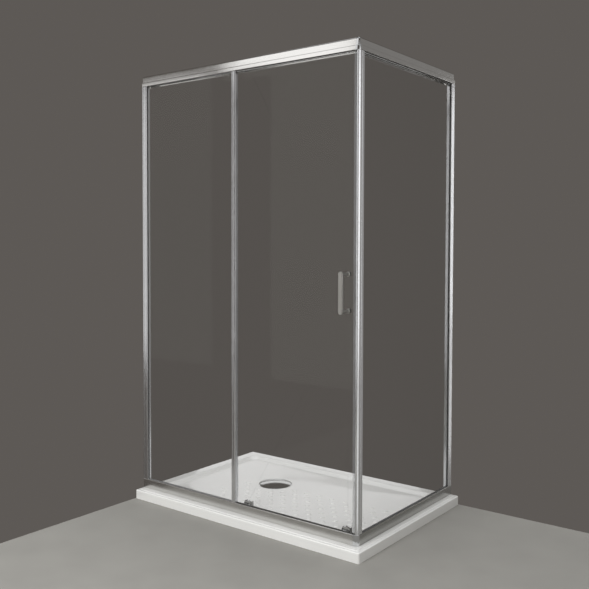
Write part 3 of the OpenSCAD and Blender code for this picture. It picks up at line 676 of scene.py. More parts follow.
def carve(blank: Blank, cutter: Blank) -> Blank:
    """Cuts one closed shape out of another.

    Args:
        blank: The shape that is cut.
        cutter: The shape that is taken away.

    Returns:
        What is left.
    """
    objects = []
    for source in (blank, cutter):
        spare = bpy.data.meshes.new("spare")
        source.bm.to_mesh(spare)
        source.bm.free()
        objects.append(new_object("spare", spare))
    cut = objects[0].modifiers.new("cut", "BOOLEAN")
    cut.operation, cut.solver, cut.object = "DIFFERENCE", "EXACT", objects[1]
    shown = objects[0].evaluated_get(bpy.context.evaluated_depsgraph_get())
    left = Blank()
    left.bm.from_mesh(bpy.data.meshes.new_from_object(shown))
    for spare in objects:
        bpy.data.objects.remove(spare)
    return left


class SubAssembly:
    """Base of the sub-assemblies: places pieces and dresses CAD nodes.

    A CAD node's edges that turn by more than round_over, in degrees, can be rounded.
    """

    body = "frame"
    round_over = 50.0

    def place(self, name: str, blank: Blank, finish: Finish, *nodes: str,
              body: str = "") -> bpy.types.Object:
        """Makes a blank a piece of the enclosure.

        Args:
            name: The piece's name.
            blank: Its shape.
            finish: Its finish.
            nodes: The CAD nodes that it stands for.
            body: The body that it rides on, if not the sub-assembly's own.

        Returns:
            The piece.
        """
        piece = new_object(name, blank.mesh(name))
        piece.data.materials.append(finish.material)
        even = piece.modifiers.new("even light", "WEIGHTED_NORMAL")
        even.keep_sharp = True
        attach(piece, body or self.body)
        if nodes:
            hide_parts(*nodes)
        log.info("%s: %s, %d faces", type(self).__name__, name, len(piece.data.polygons))
        return piece

    def dress(self, finish: Finish, *nodes: str, edge: float = 0.0) -> None:
        """Gives CAD nodes their finish.

        Args:
            finish: The finish.
            nodes: The nodes.
            edge: Width of the rounding along their edges.
        """
        for name in nodes:
            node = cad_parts[name]
            for material_slot in node.material_slots:
                material_slot.link = "OBJECT"
                material_slot.material = finish.material
            if edge:
                node.modifiers.new("joined", "WELD").merge_threshold = SAME_PLACE
                rounding = node.modifiers.new("rounded", "BEVEL")
                rounding.width, rounding.segments = edge, 2
                rounding.limit_method = "ANGLE"
                rounding.angle_limit = math.radians(self.round_over)
            log.info("%s: %s dressed in %s", type(self).__name__, name, finish.slot)

    def build(self) -> None:
        """Builds and dresses the sub-assembly."""
        raise NotImplementedError


@dataclass
class Tray(SubAssembly):
    """The low tray: a blended basin with a fall to the waste, and raised dots.

    Args:
        length: Length along the door side.
        width: Width along the short side.
        corner: Radius of its outer corners.
        corner_steps: Faces round an outer corner.
        edge: Radius of its outer top edge.
        edge_steps: Faces over that edge.
        inner_steps: Faces round a corner of the step or the basin.
        step_in: Width of the lower step along its edge.
        step_up: Height of that step.
        step_corner: Radius of the step's corners.
        step_rounding: How far each outline of the step's riser is set back, and what share
            of the step's height it lies under the rim.
        basin_low: Plan corner of the basin nearest the front left.
        basin_high: Plan corner of the basin nearest the back right.
        basin_corner: Radius of the basin's corners.
        lip: How far the basin's rounded lip reaches back over the rim.
        slope_run: Plan width of the basin's side.
        slope_steps: Faces down the basin's side.
        foot_z: Height of the floor at the foot of the sides.
        foot_span: Greatest length of a face along that foot.
        fall_cuts: Cuts across the falling floor.
        waste: Plan place of the waste.
        drain_z: Height of the floor round the waste.
        drain_r: Radius of the flat round the recess.
        recess_r: Radius of the recess.
        recess_side: The recess's side, as distance from its radius and height.
        hole_r: Radius of the hole.
        hole_side: The hole's side, as distance from its radius and height.
        hole_steps: Faces round the hole's foot.
        dot_r: Radius of a dot.
        dot_h: Height of a dot.
        dot_foot: A dot's foot, as distance from its radius and height.
        dot_curve: The rest of a dot, as shares of its radius and height.
        dot_steps: Faces round a dot.
        dot_pitch: Spacing of the dots along a row and between rows.
        dots_low: Plan corner of the dots' zone nearest the front left.
        dots_high: Plan corner of the dots' zone nearest the back right.
        dots_corner: Radius of the zone's corners.
        dots_clear: Clear distance of the dots from the waste's centre.
    """

    length: float = 1.200
    width: float = 0.800
    corner: float = 0.008
    corner_steps: int = 10
    edge: float = 0.004
    edge_steps: int = 5
    inner_steps: int = 14
    step_in: float = 0.015
    step_up: float = 0.0015
    step_corner: float = 0.005
    step_rounding: tuple[Pair, ...] = ((0.0, 1.0), (0.0003, 0.8), (0.0006, 0.25),
                                       (0.0011, 0.0))
    basin_low: Pair = (-0.548, -0.304)
    basin_high: Pair = (0.514, 0.348)
    basin_corner: float = 0.045
    lip: float = 0.004
    slope_run: float = 0.026
    slope_steps: int = 12
    foot_z: float = 0.0260
    foot_span: float = 0.03
    fall_cuts: int = 7
    waste: Pair = (-0.194, 0.095)
    drain_z: float = 0.018
    drain_r: float = 0.083
    recess_r: float = 0.078
    recess_side: tuple[Pair, ...] = ((0.0012, 0.0180), (0.0004, 0.0177), (0.0, 0.0169),
                                     (0.0, 0.0130), (-0.0003, 0.0123), (-0.0010, 0.0120))
    hole_r: float = 0.045
    hole_side: tuple[Pair, ...] = ((0.0008, 0.0120), (0.0, 0.0113), (0.0, 0.0))
    hole_steps: int = 64
    dot_r: float = 0.012
    dot_h: float = 0.0026
    dot_foot: tuple[Pair, ...] = ((0.0006, -0.0005), (-0.0004, 0.0))
    dot_curve: tuple[Pair, ...] = ((0.86, 0.45), (0.74, 0.82), (0.6, 1.0), (0.0, 1.0))
    dot_steps: int = 28
    dot_pitch: Pair = (0.069, 0.043)
    dots_low: Pair = (-0.333, -0.279)
    dots_high: Pair = (0.474, 0.103)
    dots_corner: float = 0.090
    dots_clear: float = 0.107

    def build(self) -> None:
        """Builds the shell, the basin and the dots as one piece."""
        shell = self.shell()
        shell.add(self.basin())
        shell.closed()
        self.add_dots(shell)
        self.place("tray_shell", shell, PALETTE.tray, "tray")

    def shell(self) -> Blank:
        """The outside of the tray and its rim, open at the basin and the hole."""
        half_x, half_y = self.length / 2, self.width / 2
        blank = upright(box_corners((-half_x, -half_y), (half_x, half_y), self.corner),
                        (0, 0), 0.0, RIM_Z - self.step_up, self.corner_steps)
        top = max(blank.bm.faces, key=lambda f: f.calc_center_median().z)
        blank.bevel(list(top.edges), self.edge, self.edge_steps)
        top = max(blank.bm.faces, key=lambda f: (len(f.verts), f.calc_center_median().z))
        inner_x, inner_y = half_x - self.step_in, half_y - self.step_in
        rings = [self.plan_face(blank, (-inner_x, -inner_y), (inner_x, inner_y), -back,
                                RIM_Z - self.step_up * drop, self.step_corner)
                 for back, drop in self.step_rounding]
        mouth = self.plan_face(blank, self.basin_low, self.basin_high, self.lip, RIM_Z,
                               self.basin_corner)
        loops = [list(ring.edges) for ring in rings]
        self.fill_between(blank, top, rings[0])
        self.fill_between(blank, rings[-1], mouth)
        bmesh.ops.delete(blank.bm, geom=rings[1:-1], context="FACES_ONLY")
        for first, second in zip(loops, loops[1:]):
            bmesh.ops.bridge_loops(blank.bm, edges=first + second)
        base = min(blank.bm.faces, key=lambda f: f.calc_center_median().z)
        hole = bmesh.ops.create_circle(blank.bm, cap_ends=True, radius=self.hole_r,
                                       segments=self.hole_steps)["verts"]
        bmesh.ops.translate(blank.bm, vec=(*self.waste, 0), verts=hole)
        self.fill_between(blank, base, hole[0].link_faces[0])
        return blank

    def plan_face(self, blank: Blank, low: Sequence[float], high: Sequence[float],
                  grow: float, z: float, corner: float) -> bmesh.types.BMFace:
        """Adds an outline with rounded corners, as a level face, to a blank.

        Args:
            blank: The blank.
            low: The outline's lowest plan corner.
            high: Its highest plan corner.
            grow: How far it is let out all round.
            z: Its height.
            corner: Radius of its corners before it is let out.

        Returns:
            The face.
        """
        corners = box_corners([c - grow for c in low], [c + grow for c in high],
                              corner + grow)
        part, _ = outline(corners, lambda a, b: Vector((a, b, z)), self.inner_steps)
        before = set(blank.bm.faces)
        blank.add(part)
        return next(f for f in blank.bm.faces if f not in before)

    @staticmethod
    def fill_between(blank: Blank, outer: bmesh.types.BMFace,
                     inner: bmesh.types.BMFace) -> None:
        """Replaces two level faces, one round the other, with the ring between them.

        Args:
            blank: The blank.
            outer: The outer face.
            inner: The inner face.
        """
        edges = list(outer.edges) + list(inner.edges)
        bmesh.ops.delete(blank.bm, geom=[outer, inner], context="FACES_ONLY")
        bmesh.ops.triangle_fill(blank.bm, use_beauty=True, use_dissolve=False, edges=edges)

    @staticmethod
    def sink(blank: Blank, thickness: float, rise: float) -> bmesh.types.BMFace:
        """Insets the level face with the most corners, and moves it.

        Args:
            blank: The blank.
            thickness: How far it is inset.
            rise: How far it then moves up.

        Returns:
            The inset face.
        """
        blank.bm.normal_update()
        face = max(blank.bm.faces, key=lambda f: (len(f.verts), f.calc_center_median().z))
        bmesh.ops.inset_region(blank.bm, faces=[face], thickness=thickness, depth=0.0,
                               use_even_offset=True, use_boundary=True)
        bmesh.ops.translate(blank.bm, vec=(0, 0, rise), verts=list(face.verts))
        return face

    def basin(self) -> Blank:
        """The basin's sides, its falling floor and the recess round the waste."""
        blank = Blank()
        face = self.plan_face(blank, self.basin_low, self.basin_high, self.lip, RIM_Z,
                              self.basin_corner)
        steps = self.slope_steps
        drop = RIM_Z - self.foot_z
        ease = [(1 - math.cos(math.pi * i / steps)) / 2 for i in range(steps + 1)]
        for start, stop in zip(ease, ease[1:]):
            face = self.sink(blank, (self.slope_run + self.lip) / steps,
                             (start - stop) * drop)
        sides = list(face.edges)
        bmesh.ops.delete(blank.bm, geom=[face], context="FACES_ONLY")
        for edge in sides:
            cuts = round(edge.calc_length() / self.foot_span) - 1
            if cuts > 0:
                bmesh.ops.subdivide_edges(blank.bm, edges=[edge], cuts=cuts)
        halfway = (self.foot_z + RIM_Z) / 2
        foot = [e for e in blank.bm.edges if e.is_boundary and e.verts[0].co.z < halfway]
        ring = bmesh.ops.create_circle(blank.bm, cap_ends=False, radius=self.drain_r,
                                       segments=len(foot))["verts"]
        bmesh.ops.translate(blank.bm, vec=(*self.waste, self.drain_z), verts=ring)
        edge_ring = list({e for v in ring for e in v.link_edges})
        made = bmesh.ops.bridge_loops(blank.bm, edges=foot + edge_ring)
        half_fall = (self.foot_z - self.drain_z) / 2
        spokes = [e for e in made["edges"]
                  if abs(e.verts[0].co.z - e.verts[1].co.z) > half_fall]
        bmesh.ops.subdivide_edges(blank.bm, edges=spokes, cuts=self.fall_cuts,
                                  use_grid_fill=True)
        self.recess(blank, edge_ring)
        return blank

    def recess(self, blank: Blank, ring: list[bmesh.types.BMEdge]) -> None:
        """Carries the floor down into the recess and through the hole.

        Args:
            blank: The blank.
            ring: The edges round the recess.
        """
        centre = Matrix.Translation((-self.waste[0], -self.waste[1], 0))
        radius, height = self.drain_r, self.drain_z
        rings = [(self.recess_r + out, z) for out, z in self.recess_side]
        rings += [(self.hole_r + out, z) for out, z in self.hole_side]
        for next_radius, next_height in rings:
            made = bmesh.ops.extrude_edge_only(blank.bm, edges=ring)["geom"]
            points, ring = points_of(made), edges_of(made)
            share = next_radius / radius
            bmesh.ops.scale(blank.bm, vec=(share, share, 1), space=centre, verts=points)
            bmesh.ops.translate(blank.bm, vec=(0, 0, next_height - height), verts=points)
            radius, height = next_radius, next_height

    def dot(self) -> Blank:
        """One raised dot: a soft mound with a flat top."""
        foot = [(self.dot_r + out, up) for out, up in self.dot_foot]
        rest = [(self.dot_r * out, self.dot_h * up) for out, up in self.dot_curve]
        return turned([(r / MM, h / MM) for r, h in foot + rest], (0, 0, 0),
                      steps=self.dot_steps)

    def add_dots(self, shell: Blank) -> None:
        """Sets the dots on the floor in staggered rows and marks them for the painted
        highlight.

        Args:
            shell: The tray, which takes the dots in.
        """
        floor = BVHTree.FromBMesh(shell.bm)
        plain = len(shell.bm.verts)
        dot = self.dot()
        (x0, y0), (x1, y1), r = self.dots_low, self.dots_high, self.dots_corner
        pitch_x, pitch_y = self.dot_pitch
        for row in range(int((y1 - y0) / pitch_y) + 1):
            y = y0 + row * pitch_y
            for column in range(int((x1 - x0) / pitch_x) + 1):
                x = x0 + (column + (row % 2) / 2) * pitch_x
                inside = math.hypot(max(x0 + r - x, x - x1 + r, 0),
                                    max(y0 + r - y, y - y1 + r, 0)) <= r
                apart = math.dist((x, y), self.waste) > self.dots_clear
                hit = floor.ray_cast(Vector((x, y, 1)), Vector((0, 0, -1)))[0]
                if inside and apart and hit:
                    shell.add(dot, Matrix.Translation(hit))
        dot.bm.free()
        # Marks the dots' points, so the tray's colour paints a highlight on them.
        dot_highlight = shell.bm.verts.layers.float.new(PAINTED_DOT_HIGHLIGHT)
        shell.bm.verts.ensure_lookup_table()
        for vert in shell.bm.verts[plain:]:
            vert[dot_highlight] = 1.0


@dataclass
class Waste(SubAssembly):
    """The waste: its flange and the lift-off dome over it.

    Args:
        centre: Plan place of the waste.
        radius: Radius of the dome.
        rim_z: Height of the dome's rim.
        rise: Rise of the dome over its rim.
        steps: Faces from the dome's middle to its rim.
        round_steps: Faces round the dome.
        ball_share: Share of the radius that the ball-shaped part takes up.
        rim: The rolled rim, as distance from the radius and height over its foot.
        wall: Thickness of the dome.
        foot_ring: Distance of the feet from the centre.
        foot_r: Radius of a foot.
        foot_z: Height that the feet stand on.
        foot_steps: Faces round a foot.
        fin: Half length of the crossed fins.
        fin_t: Half their thickness.
        fin_z: Height of the fins' foot.
        fin_edge: Rounding of their edges.
    """

    centre: Pair = (-0.194, 0.095)
    radius: float = 0.073
    rim_z: float = 0.0165
    rise: float = 0.010
    steps: int = 14
    round_steps: int = 96
    ball_share: float = 0.985
    rim: tuple[Pair, ...] = ((-0.0004, 0.0007), (0.0, 0.0003), (-0.0003, 0.0),
                             (-0.0014, 0.0))
    wall: float = 0.0016
    foot_ring: float = 0.0489
    foot_r: float = 0.003
    foot_z: float = 0.014
    foot_steps: int = 20
    fin: float = 0.0417
    fin_t: float = 0.001
    fin_z: float = 0.0123
    fin_edge: float = 0.0003

    def dome_z(self, r: float) -> float:
        """Height of the dome's top over its rim at a distance from the centre."""
        ball = (self.radius ** 2 + self.rise ** 2) / (2 * self.rise)
        return self.rise - ball + math.sqrt(ball ** 2 - r ** 2)

    def build(self) -> None:
        """Builds the dome with its feet and fins, and dresses the flange."""
        reaches = [self.radius * self.ball_share * i / self.steps
                   for i in range(self.steps + 1)]
        top = [(r, self.dome_z(r)) for r in reaches]
        under = [(r * self.ball_share, h - self.wall) for r, h in reversed(top[:-1])]
        profile = [*top, *((self.radius + out, h) for out, h in self.rim), *under]
        x, y = self.centre
        dome = turned([(r / MM, h / MM) for r, h in profile], (x, y, self.rim_z),
                      steps=self.round_steps)
        seat = self.rim_z + self.dome_z(self.foot_ring) - self.wall / 2
        foot_r, height = self.foot_r / MM, (seat - self.foot_z) / MM
        for quarter in range(4):
            angle = math.tau * (quarter + 0.5) / 4
            foot = (x + self.foot_ring * math.cos(angle),
                    y + self.foot_ring * math.sin(angle), self.foot_z)
            dome.add(turned([(0, 0), (foot_r, 0), (foot_r, height), (0, height)], foot,
                            steps=self.foot_steps))
        top_z = self.rim_z + self.dome_z(self.fin) - self.wall / 2
        for reach_x, reach_y in ((self.fin, self.fin_t), (self.fin_t, self.fin)):
            fin = block((x - reach_x, y - reach_y, self.fin_z),
                        (x + reach_x, y + reach_y, top_z))
            dome.add(fin.soften(self.fin_edge, 1))
        self.place("waste_dome", dome, PALETTE.dome, "waste_cover", body="waste_cover")
        self.dress(PALETTE.chrome, "waste_flange")


def bead(depth: float, foot: float, head: float) -> list[Corner]:
    """The corners of the raised track that the wheels run on, from its inner side.

    Args:
        depth: Depth of its middle.
        foot: Height of its foot.
        head: Height of its head's middle.

    Returns:
        The corners.
    """
    half = [(1, foot, 0), (1, head - 1.2, 0), (1.6, head, 0.5), (0.9, head + 1.55, 0.7)]
    return [(depth + side * out, z, radius) for side, corners in ((1, half), (-1, half[::-1]))
            for out, z, radius in corners]


@dataclass
class Rails(SubAssembly):
    """The top and bottom rails of both sides, with their screws.

    Args:
        front_x: Where the front rails start and end.
        side_y: Where the side rails start and end.
        inner_y: Where the inner part of the side rails starts.
    """

    front_x: Pair = (-0.595, 0.544)
    side_y: Pair = (-0.344, 0.395)
    inner_y: float = -0.3117
    top_foot: ClassVar[list[Corner]] = [(0, 0, 3), (3.5, 0, 0.4), (3.5, 14, 0),
                                        (12.5, 14, 0), (12.5, 0, 0.4), (17, 0, 0.4)]
    top_face: ClassVar[list[Corner]] = [(6, 48, 9), (6, 18, 0.5), (0, 18, 3)]
    low_face: ClassVar[list[Corner]] = [(16.5, 42, 0.6), (12.5, 42, 0.4), (12.5, 28, 0),
                                        (3.5, 28, 0), (3.5, 42, 0), (0, 42, 3.4)]

    @property
    def top_box(self) -> list[Corner]:
        """The top rail's outer part: a lower tier, a rounded upper tier and a pocket."""
        return [*self.top_foot, (17, 48, 0), *self.top_face]

    @property
    def top_section(self) -> list[Corner]:
        """The whole top rail, with its door channel and track."""
        return [*self.top_foot, (17, 46.2, 0.8), (42.2, 46.2, 0.8), (42.2, 5, 0),
                *bead(35, 5, 8), (33, 5, 0.4), (33, 3, 0.4), (42.2, 3, 0), (42.2, 0, 0.4),
                (44, 0, 0.4), (44, 48, 1.2), *self.top_face]

    @property
    def low_box(self) -> list[Corner]:
        """The bottom rail's outer part, with its pocket."""
        return [(0, 0, 1.5), (16.5, 0, 0), *self.low_face]

    @property
    def low_section(self) -> list[Corner]:
        """The whole bottom rail, with its sill, track and inner lip."""
        return [(0, 0, 1.5), (44, 0, 0.4), (44, 6, 0.7), (42.2, 6, 0.7), (42.2, 2.2, 0.5),
                *bead(35, 2.2, 10), (16.5, 2.2, 0.8), *self.low_face]

    def build(self) -> None:
        """Draws the four rails and dresses their screws."""
        y0, y1 = self.side_y
        head = (self.top_section, self.top_box, TOP_RAIL_Z)
        sill = (self.low_section, self.low_box, RIM_Z)
        for name, (whole, _, z), finish, node in (
                ("front_head_rail", head, PALETTE.rail_front, "top_rail_front"),
                ("front_sill_rail", sill, PALETTE.sill_front_painted_shade, "bottom_rail_front")):
            self.place(name, front_bar(whole, *self.front_x, z), finish, node)
        for name, (whole, box, z), finish, node in (
                ("side_head_rail", head, PALETTE.rail_side_painted_shade, "top_rail_side"),
                ("side_sill_rail", sill, PALETTE.sill_side_painted_shade, "bottom_rail_side")):
            rail = side_bar(whole, self.inner_y, y1, z)
            rail.add(side_bar(box, y0, self.inner_y, z))
            self.place(name, rail, finish, node)
        self.dress(PALETTE.steel, "rail_screws", "stile_screws", edge=0.0003)


@dataclass
class CornerJoint(SubAssembly):
    """The corner: rounded covers over black blocks at the head and the foot.

    Args:
        centre: Plan place of the rounded corner's centre.
        radius: Radius of the corner, in millimetres.
        flat: Length of the straight part towards the front rail.
        wall: Thickness of the covers, in millimetres.
        foot_h: Height of the lower cover, in millimetres.
        tier_h: Height of the upper cover's lower tier, in millimetres.
        head_h: Height of the upper cover, in millimetres.
        set_back: How far its upper tier stands back, in millimetres.
        edge_steps: Faces across a rounded edge of the section.
        turn_steps: Faces round the corner.
    """

    centre: Pair = (0.554, -0.344)
    radius: float = 12.0
    flat: float = 0.0097
    wall: float = 1.8
    foot_h: float = 42.0
    tier_h: float = 18.0
    head_h: float = 48.0
    set_back: float = 6.0
    edge_steps: int = 8
    turn_steps: int = 16

    def cover(self, corners: Sequence[Corner], z: float) -> Blank:
        """Draws a section along the front and round the corner.

        Args:
            corners: The section, as distance from the corner's centre and height, in
                millimetres.
            z: The height of its foot.

        Returns:
            The cover.
        """
        x, y = self.centre
        blank, face = outline(corners, lambda r, h: Vector((x - self.flat, y - r, z + h)),
                              self.edge_steps)
        bmesh.ops.bisect_plane(blank.bm, geom=[*blank.bm.verts, *blank.bm.edges, face],
                               plane_co=(x, y, z), plane_no=(0, 1, 0), clear_outer=True)
        made = bmesh.ops.extrude_face_region(blank.bm, geom=list(blank.bm.faces),
                                             use_keep_orig=True)["geom"]
        bmesh.ops.translate(blank.bm, vec=(self.flat, 0, 0), verts=points_of(made))
        bmesh.ops.spin(blank.bm, geom=made, cent=(x, y, z), axis=(0, 0, 1), dvec=(0, 0, 0),
                       angle=math.pi / 2, steps=self.turn_steps, use_merge=False,
                       use_duplicate=False)
        inner = [f for f in blank.bm.faces if f in made]
        bmesh.ops.delete(blank.bm, geom=inner, context="FACES_ONLY")
        return blank.closed()

    def build(self) -> None:
        """Builds both covers and dresses the blocks behind them."""
        outer, inner = self.radius, self.radius - self.wall
        foot = [(outer, 0, 1.5), (outer, self.foot_h, 1.6), (inner, self.foot_h, 0.2),
                (inner, 0, 0)]
        self.place("foot_cover", self.cover(foot, RIM_Z), PALETTE.chrome,
                   "corner_cover_bottom")
        upper, under = outer - self.set_back, inner - self.set_back
        tier, top = self.tier_h, self.head_h
        shelf, roof = tier - self.wall, top - self.wall
        head = [(outer, 0, 3), (outer, tier, 3), (upper, tier, 0.5), (upper, top, 9),
                (-outer, top, 0), (-outer, roof, 0), (under, roof, 7), (under, shelf, 0),
                (inner, shelf, 1), (inner, 0, 0)]
        self.place("head_cover", self.cover(head, TOP_RAIL_Z), PALETTE.chrome,
                   "corner_cover_top")
        self.dress(PALETTE.black, "corner_block_bottom", "corner_block_top")


@dataclass
class Posts(SubAssembly):
    """The stiles on the walls, the middle post and the corner post.

    Args:
        stile_z: Where the stiles start and end inside the rails.
        mid_x: Where the middle post starts.
        corner: Plan place of the corner post's low corner.
    """

    stile_z: Pair = (0.0425, 1.8557)
    mid_x: float = -0.058
    corner: Pair = (0.5515, -0.3545)

    @property
    def stile(self) -> list[Corner]:
        """The stile's section between the rails, as distance from the wall and depth."""
        return [(4, 2, 0.6), *self.groove(10.6, 2), *self.groove(24.6, 2), (31, 2, 0.9),
                (31, 3.5, 0.3), (19, 3.5, 0), (19, 12.5, 0), (31, 12.5, 0.3), (31, 14, 0.5),
                (19, 14, 0.5), (19, 31.8, 0.9), (4, 31.8, 0.6), (4, 30.3, 0), (17.5, 30.3, 0),
                (17.5, 3.5, 0), (4, 3.5, 0)]

    @property
    def stile_tongue(self) -> list[Corner]:
        """The part of the stile that runs on behind the rails' boxes."""
        return [(17.5, 17.3, 0), (19, 17.3, 0), (19, 31.8, 0.9), (4, 31.8, 0.6),
                (4, 30.3, 0), (17.5, 30.3, 0)]

    @property
    def middle(self) -> list[Corner]:
        """The middle post's section, with its pocket for the fixed pane."""
        return [(0, 1.5, 0.8), (5, 1.5, 0.3), (5.6, 2.1, 0), (6.2, 1.5, 0.3),
                *self.groove(17, 1.5, 1.5, 1.2), (22, 1.5, 1.0), (22, 14.5, 0.8),
                (0, 14.5, 0.3), (0, 12.5, 0.3), (12, 12.5, 0), (12, 3.5, 0), (0, 3.5, 0.3)]

    @property
    def angle(self) -> list[Corner]:
        """The corner post's section, with its chamfer and its pocket for the side pane."""
        return [(0, 0, 0.8), (4, 0, 0.2), (4.5, 0.6, 0), (5, 0, 0.2), (8, 0, 1), (13, 5, 1),
                (13, 15.5, 0.3), (12.3, 16.2, 0), (12.3, 17.3, 0), (13, 18, 0.3),
                (13, 30, 0.3), (11, 30, 0.3), (11, 18, 0), (2, 18, 0), (2, 30, 0.3),
                (0, 30, 0.3)]

    @staticmethod
    def groove(middle: float, face: float, half: float = 0.6,
               depth: float = 0.5) -> list[Corner]:
        """A shadow groove in a section's face, given its middle, half width and depth."""
        return [(middle - half, face, 0.3), (middle, face + depth, 0),
                (middle + half, face, 0.3)]

    def stile_at(self, corners: Sequence[Corner], back: bool, z0: float,
                 z1: float) -> Blank:
        """A stile's section drawn up at one of the walls.

        Args:
            corners: The section.
            back: Whether it stands at the back wall or at the left one.
            z0: Where it starts.
            z1: Where it ends.

        Returns:
            The bar.
        """
        if back:
            swapped = [(-depth, -reach, radius) for reach, depth, radius in corners]
            return upright(swapped, (SIDE_X, WALL_Y), z0, z1)
        return upright(corners, (WALL_X, FRONT_Y), z0, z1)

    def build(self) -> None:
        """Draws the posts and dresses the wall channels."""
        low, high = self.stile_z
        span = (LOW_RAIL_TOP, TOP_RAIL_Z)
        for wall in ("left", "back"):
            back = wall == "back"
            bar = self.stile_at(self.stile, back, *span)
            bar.add(self.stile_at(self.stile_tongue, back, low, LOW_RAIL_TOP))
            bar.add(self.stile_at(self.stile_tongue, back, TOP_RAIL_Z, high))
            self.place(f"{wall}_wall_stile", bar, PALETTE.profile, f"stile_{wall}")
        middle = upright(self.middle, (self.mid_x, FRONT_Y), *span)
        self.place("middle_post", middle, PALETTE.profile, "mid_post")
        corner = upright(self.angle, self.corner, *span, 6)
        self.place("corner_upright", corner, PALETTE.profile, "corner_post")
        self.dress(PALETTE.channel, "wall_channel_left", "wall_channel_back", edge=0.0003)


@dataclass
class Panes(SubAssembly):
    """The three panes with their gaskets and soft seals.

    Args:
        edge: Rounding of the panes' polished edges.
        door_low: Plan corner of the door pane nearest the front left.
        door_high: Plan corner of the door pane nearest the back right.
        door_z: Where the door pane starts and ends.
    """

    edge: float = 0.0007
    door_low: Pair = (-0.052, -0.335)
    door_high: Pair = (0.538, -0.329)
    door_z: Pair = (0.054, 1.876)
    lead: ClassVar[list[Corner]] = [
        (-10, -1.2, 0.5), (1.5, -1.2, 0.5), (2.2, -0.2, 0), (6.2, -0.2, 1.6),
        (7.4, 1.4, 0.8), (7.4, 4.6, 0.8), (6.2, 6.2, 1.6), (2.2, 6.2, 0), (1.5, 7.2, 0.5),
        (-10, 7.2, 0.5), (-10, 6.05, 0), (-0.05, 6.05, 0), (-0.05, -0.05, 0),
        (-10, -0.05, 0)]
    trail: ClassVar[list[Corner]] = [
        (5, -1.2, 0.5), (-1.5, -1.2, 0.5), (-1.5, 7.2, 0.5), (5, 7.2, 0.5), (5, 6.05, 0),
        (0.05, 6.05, 0), (0.05, -0.05, 0), (5, -0.05, 0)]
    strip: ClassVar[list[Corner]] = [(0, 0, 0.8), (5.8, 0, 0.4), (5.8, 8, 0.4), (0, 8, 0.8)]

    def build(self) -> None:
        """Dresses the panes and builds the seals."""
        self.dress(PALETTE.glass, "fixed_glass", "side_glass", "door_glass", edge=self.edge)
        self.dress(PALETTE.gasket, "fixed_glass_gasket", "side_glass_gasket")
        lead = upright(self.lead, (self.door_high[0], self.door_low[1]), *self.door_z)
        self.place("lead_seal", lead, PALETTE.seal, "door_magnet_seal", body="door")
        trail = upright(self.trail, self.door_low, *self.door_z)
        self.place("trail_seal", trail, PALETTE.seal, "door_edge_seal", body="door")
        low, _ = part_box("post_magnet_strip")
        strip = upright(self.strip, low.xy, LOW_RAIL_TOP, TOP_RAIL_Z)
        self.place("magnet_strip", strip, PALETTE.magnet, "post_magnet_strip")
        self.dress(PALETTE.seal, "mid_post_seal", edge=0.0006)


@dataclass
class Handle(SubAssembly):
    """The door's pull: a flat bar on two posts with flared feet.

    Args:
        x: Place of the bar's middle.
        heights: Heights of the two posts.
        bar_y: The bar's outer and inner faces.
        half_width: Half the bar's width.
        end_flat: Half of the flat between the two roundings of an end.
        end_steps: Faces across one of those roundings.
        soft: Rounding of the bar's edges.
        reach: How far the bar runs past the posts.
        foot_y: The face that the feet stand on.
        post_r: Radius of a post, in millimetres.
        foot_r: Radius of a foot, in millimetres.
        cap_h: Height of an inner cap, in millimetres.
    """

    x: float = 0.505
    heights: Pair = (0.900, 1.036)
    bar_y: Pair = (-0.3885, -0.3795)
    half_width: float = 0.0095
    end_flat: float = 0.0002
    end_steps: int = 12
    soft: float = 0.0022
    reach: float = 0.0105
    foot_y: float = -0.3358
    post_r: float = 6.0
    foot_r: float = 9.0
    cap_h: float = 4.0
    body = "door"

    def bar(self) -> Blank:
        """The flat bar with round ends and soft edges."""
        half, (outer, inner) = self.half_width, self.bar_y
        corners = box_corners((-half, self.heights[0] - self.reach),
                              (half, self.heights[1] + self.reach), half - self.end_flat)
        blank = drawn(corners, lambda a, b: Vector((self.x + a, outer, b)),
                      (0, inner - outer, 0), self.end_steps)
        return blank.soften(self.soft, 4)

    def build(self) -> None:
        """Builds the handle and its inner caps, and dresses the washers."""
        pull, post, foot = self.bar(), self.post_r, self.foot_r
        length = (self.foot_y - self.bar_y[1]) / MM
        profile = [(post, -1.0), (post, length - 7.5), (post + 0.3, length - 5.2),
                   (post + 1.0, length - 3.9), (foot - 0.7, length - 2.9),
                   (foot, length - 2.2), (foot, length - 0.3), (foot - 0.3, length),
                   (0, length)]
        for z in self.heights:
            pull.add(turned(profile, (self.x, self.bar_y[1], z), Axis.Y))
        self.place("door_pull", pull, PALETTE.satin, "handle")
        _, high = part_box("handle_screws")
        caps = Blank()
        rise = (high.y - self.foot_y) / MM
        seat = rise - self.cap_h
        for z in self.heights:
            caps.add(turned([(0, seat), (8.8, seat), (9, seat + 0.3), (9, seat + 1.9),
                             (7.6, rise - 0.9), (4.4, rise - 0.25), (0, rise)],
                            (self.x, self.foot_y, z), Axis.Y))
        self.place("inner_caps", caps, PALETTE.satin, "handle_screws")
        self.dress(PALETTE.seal, "handle_washers")


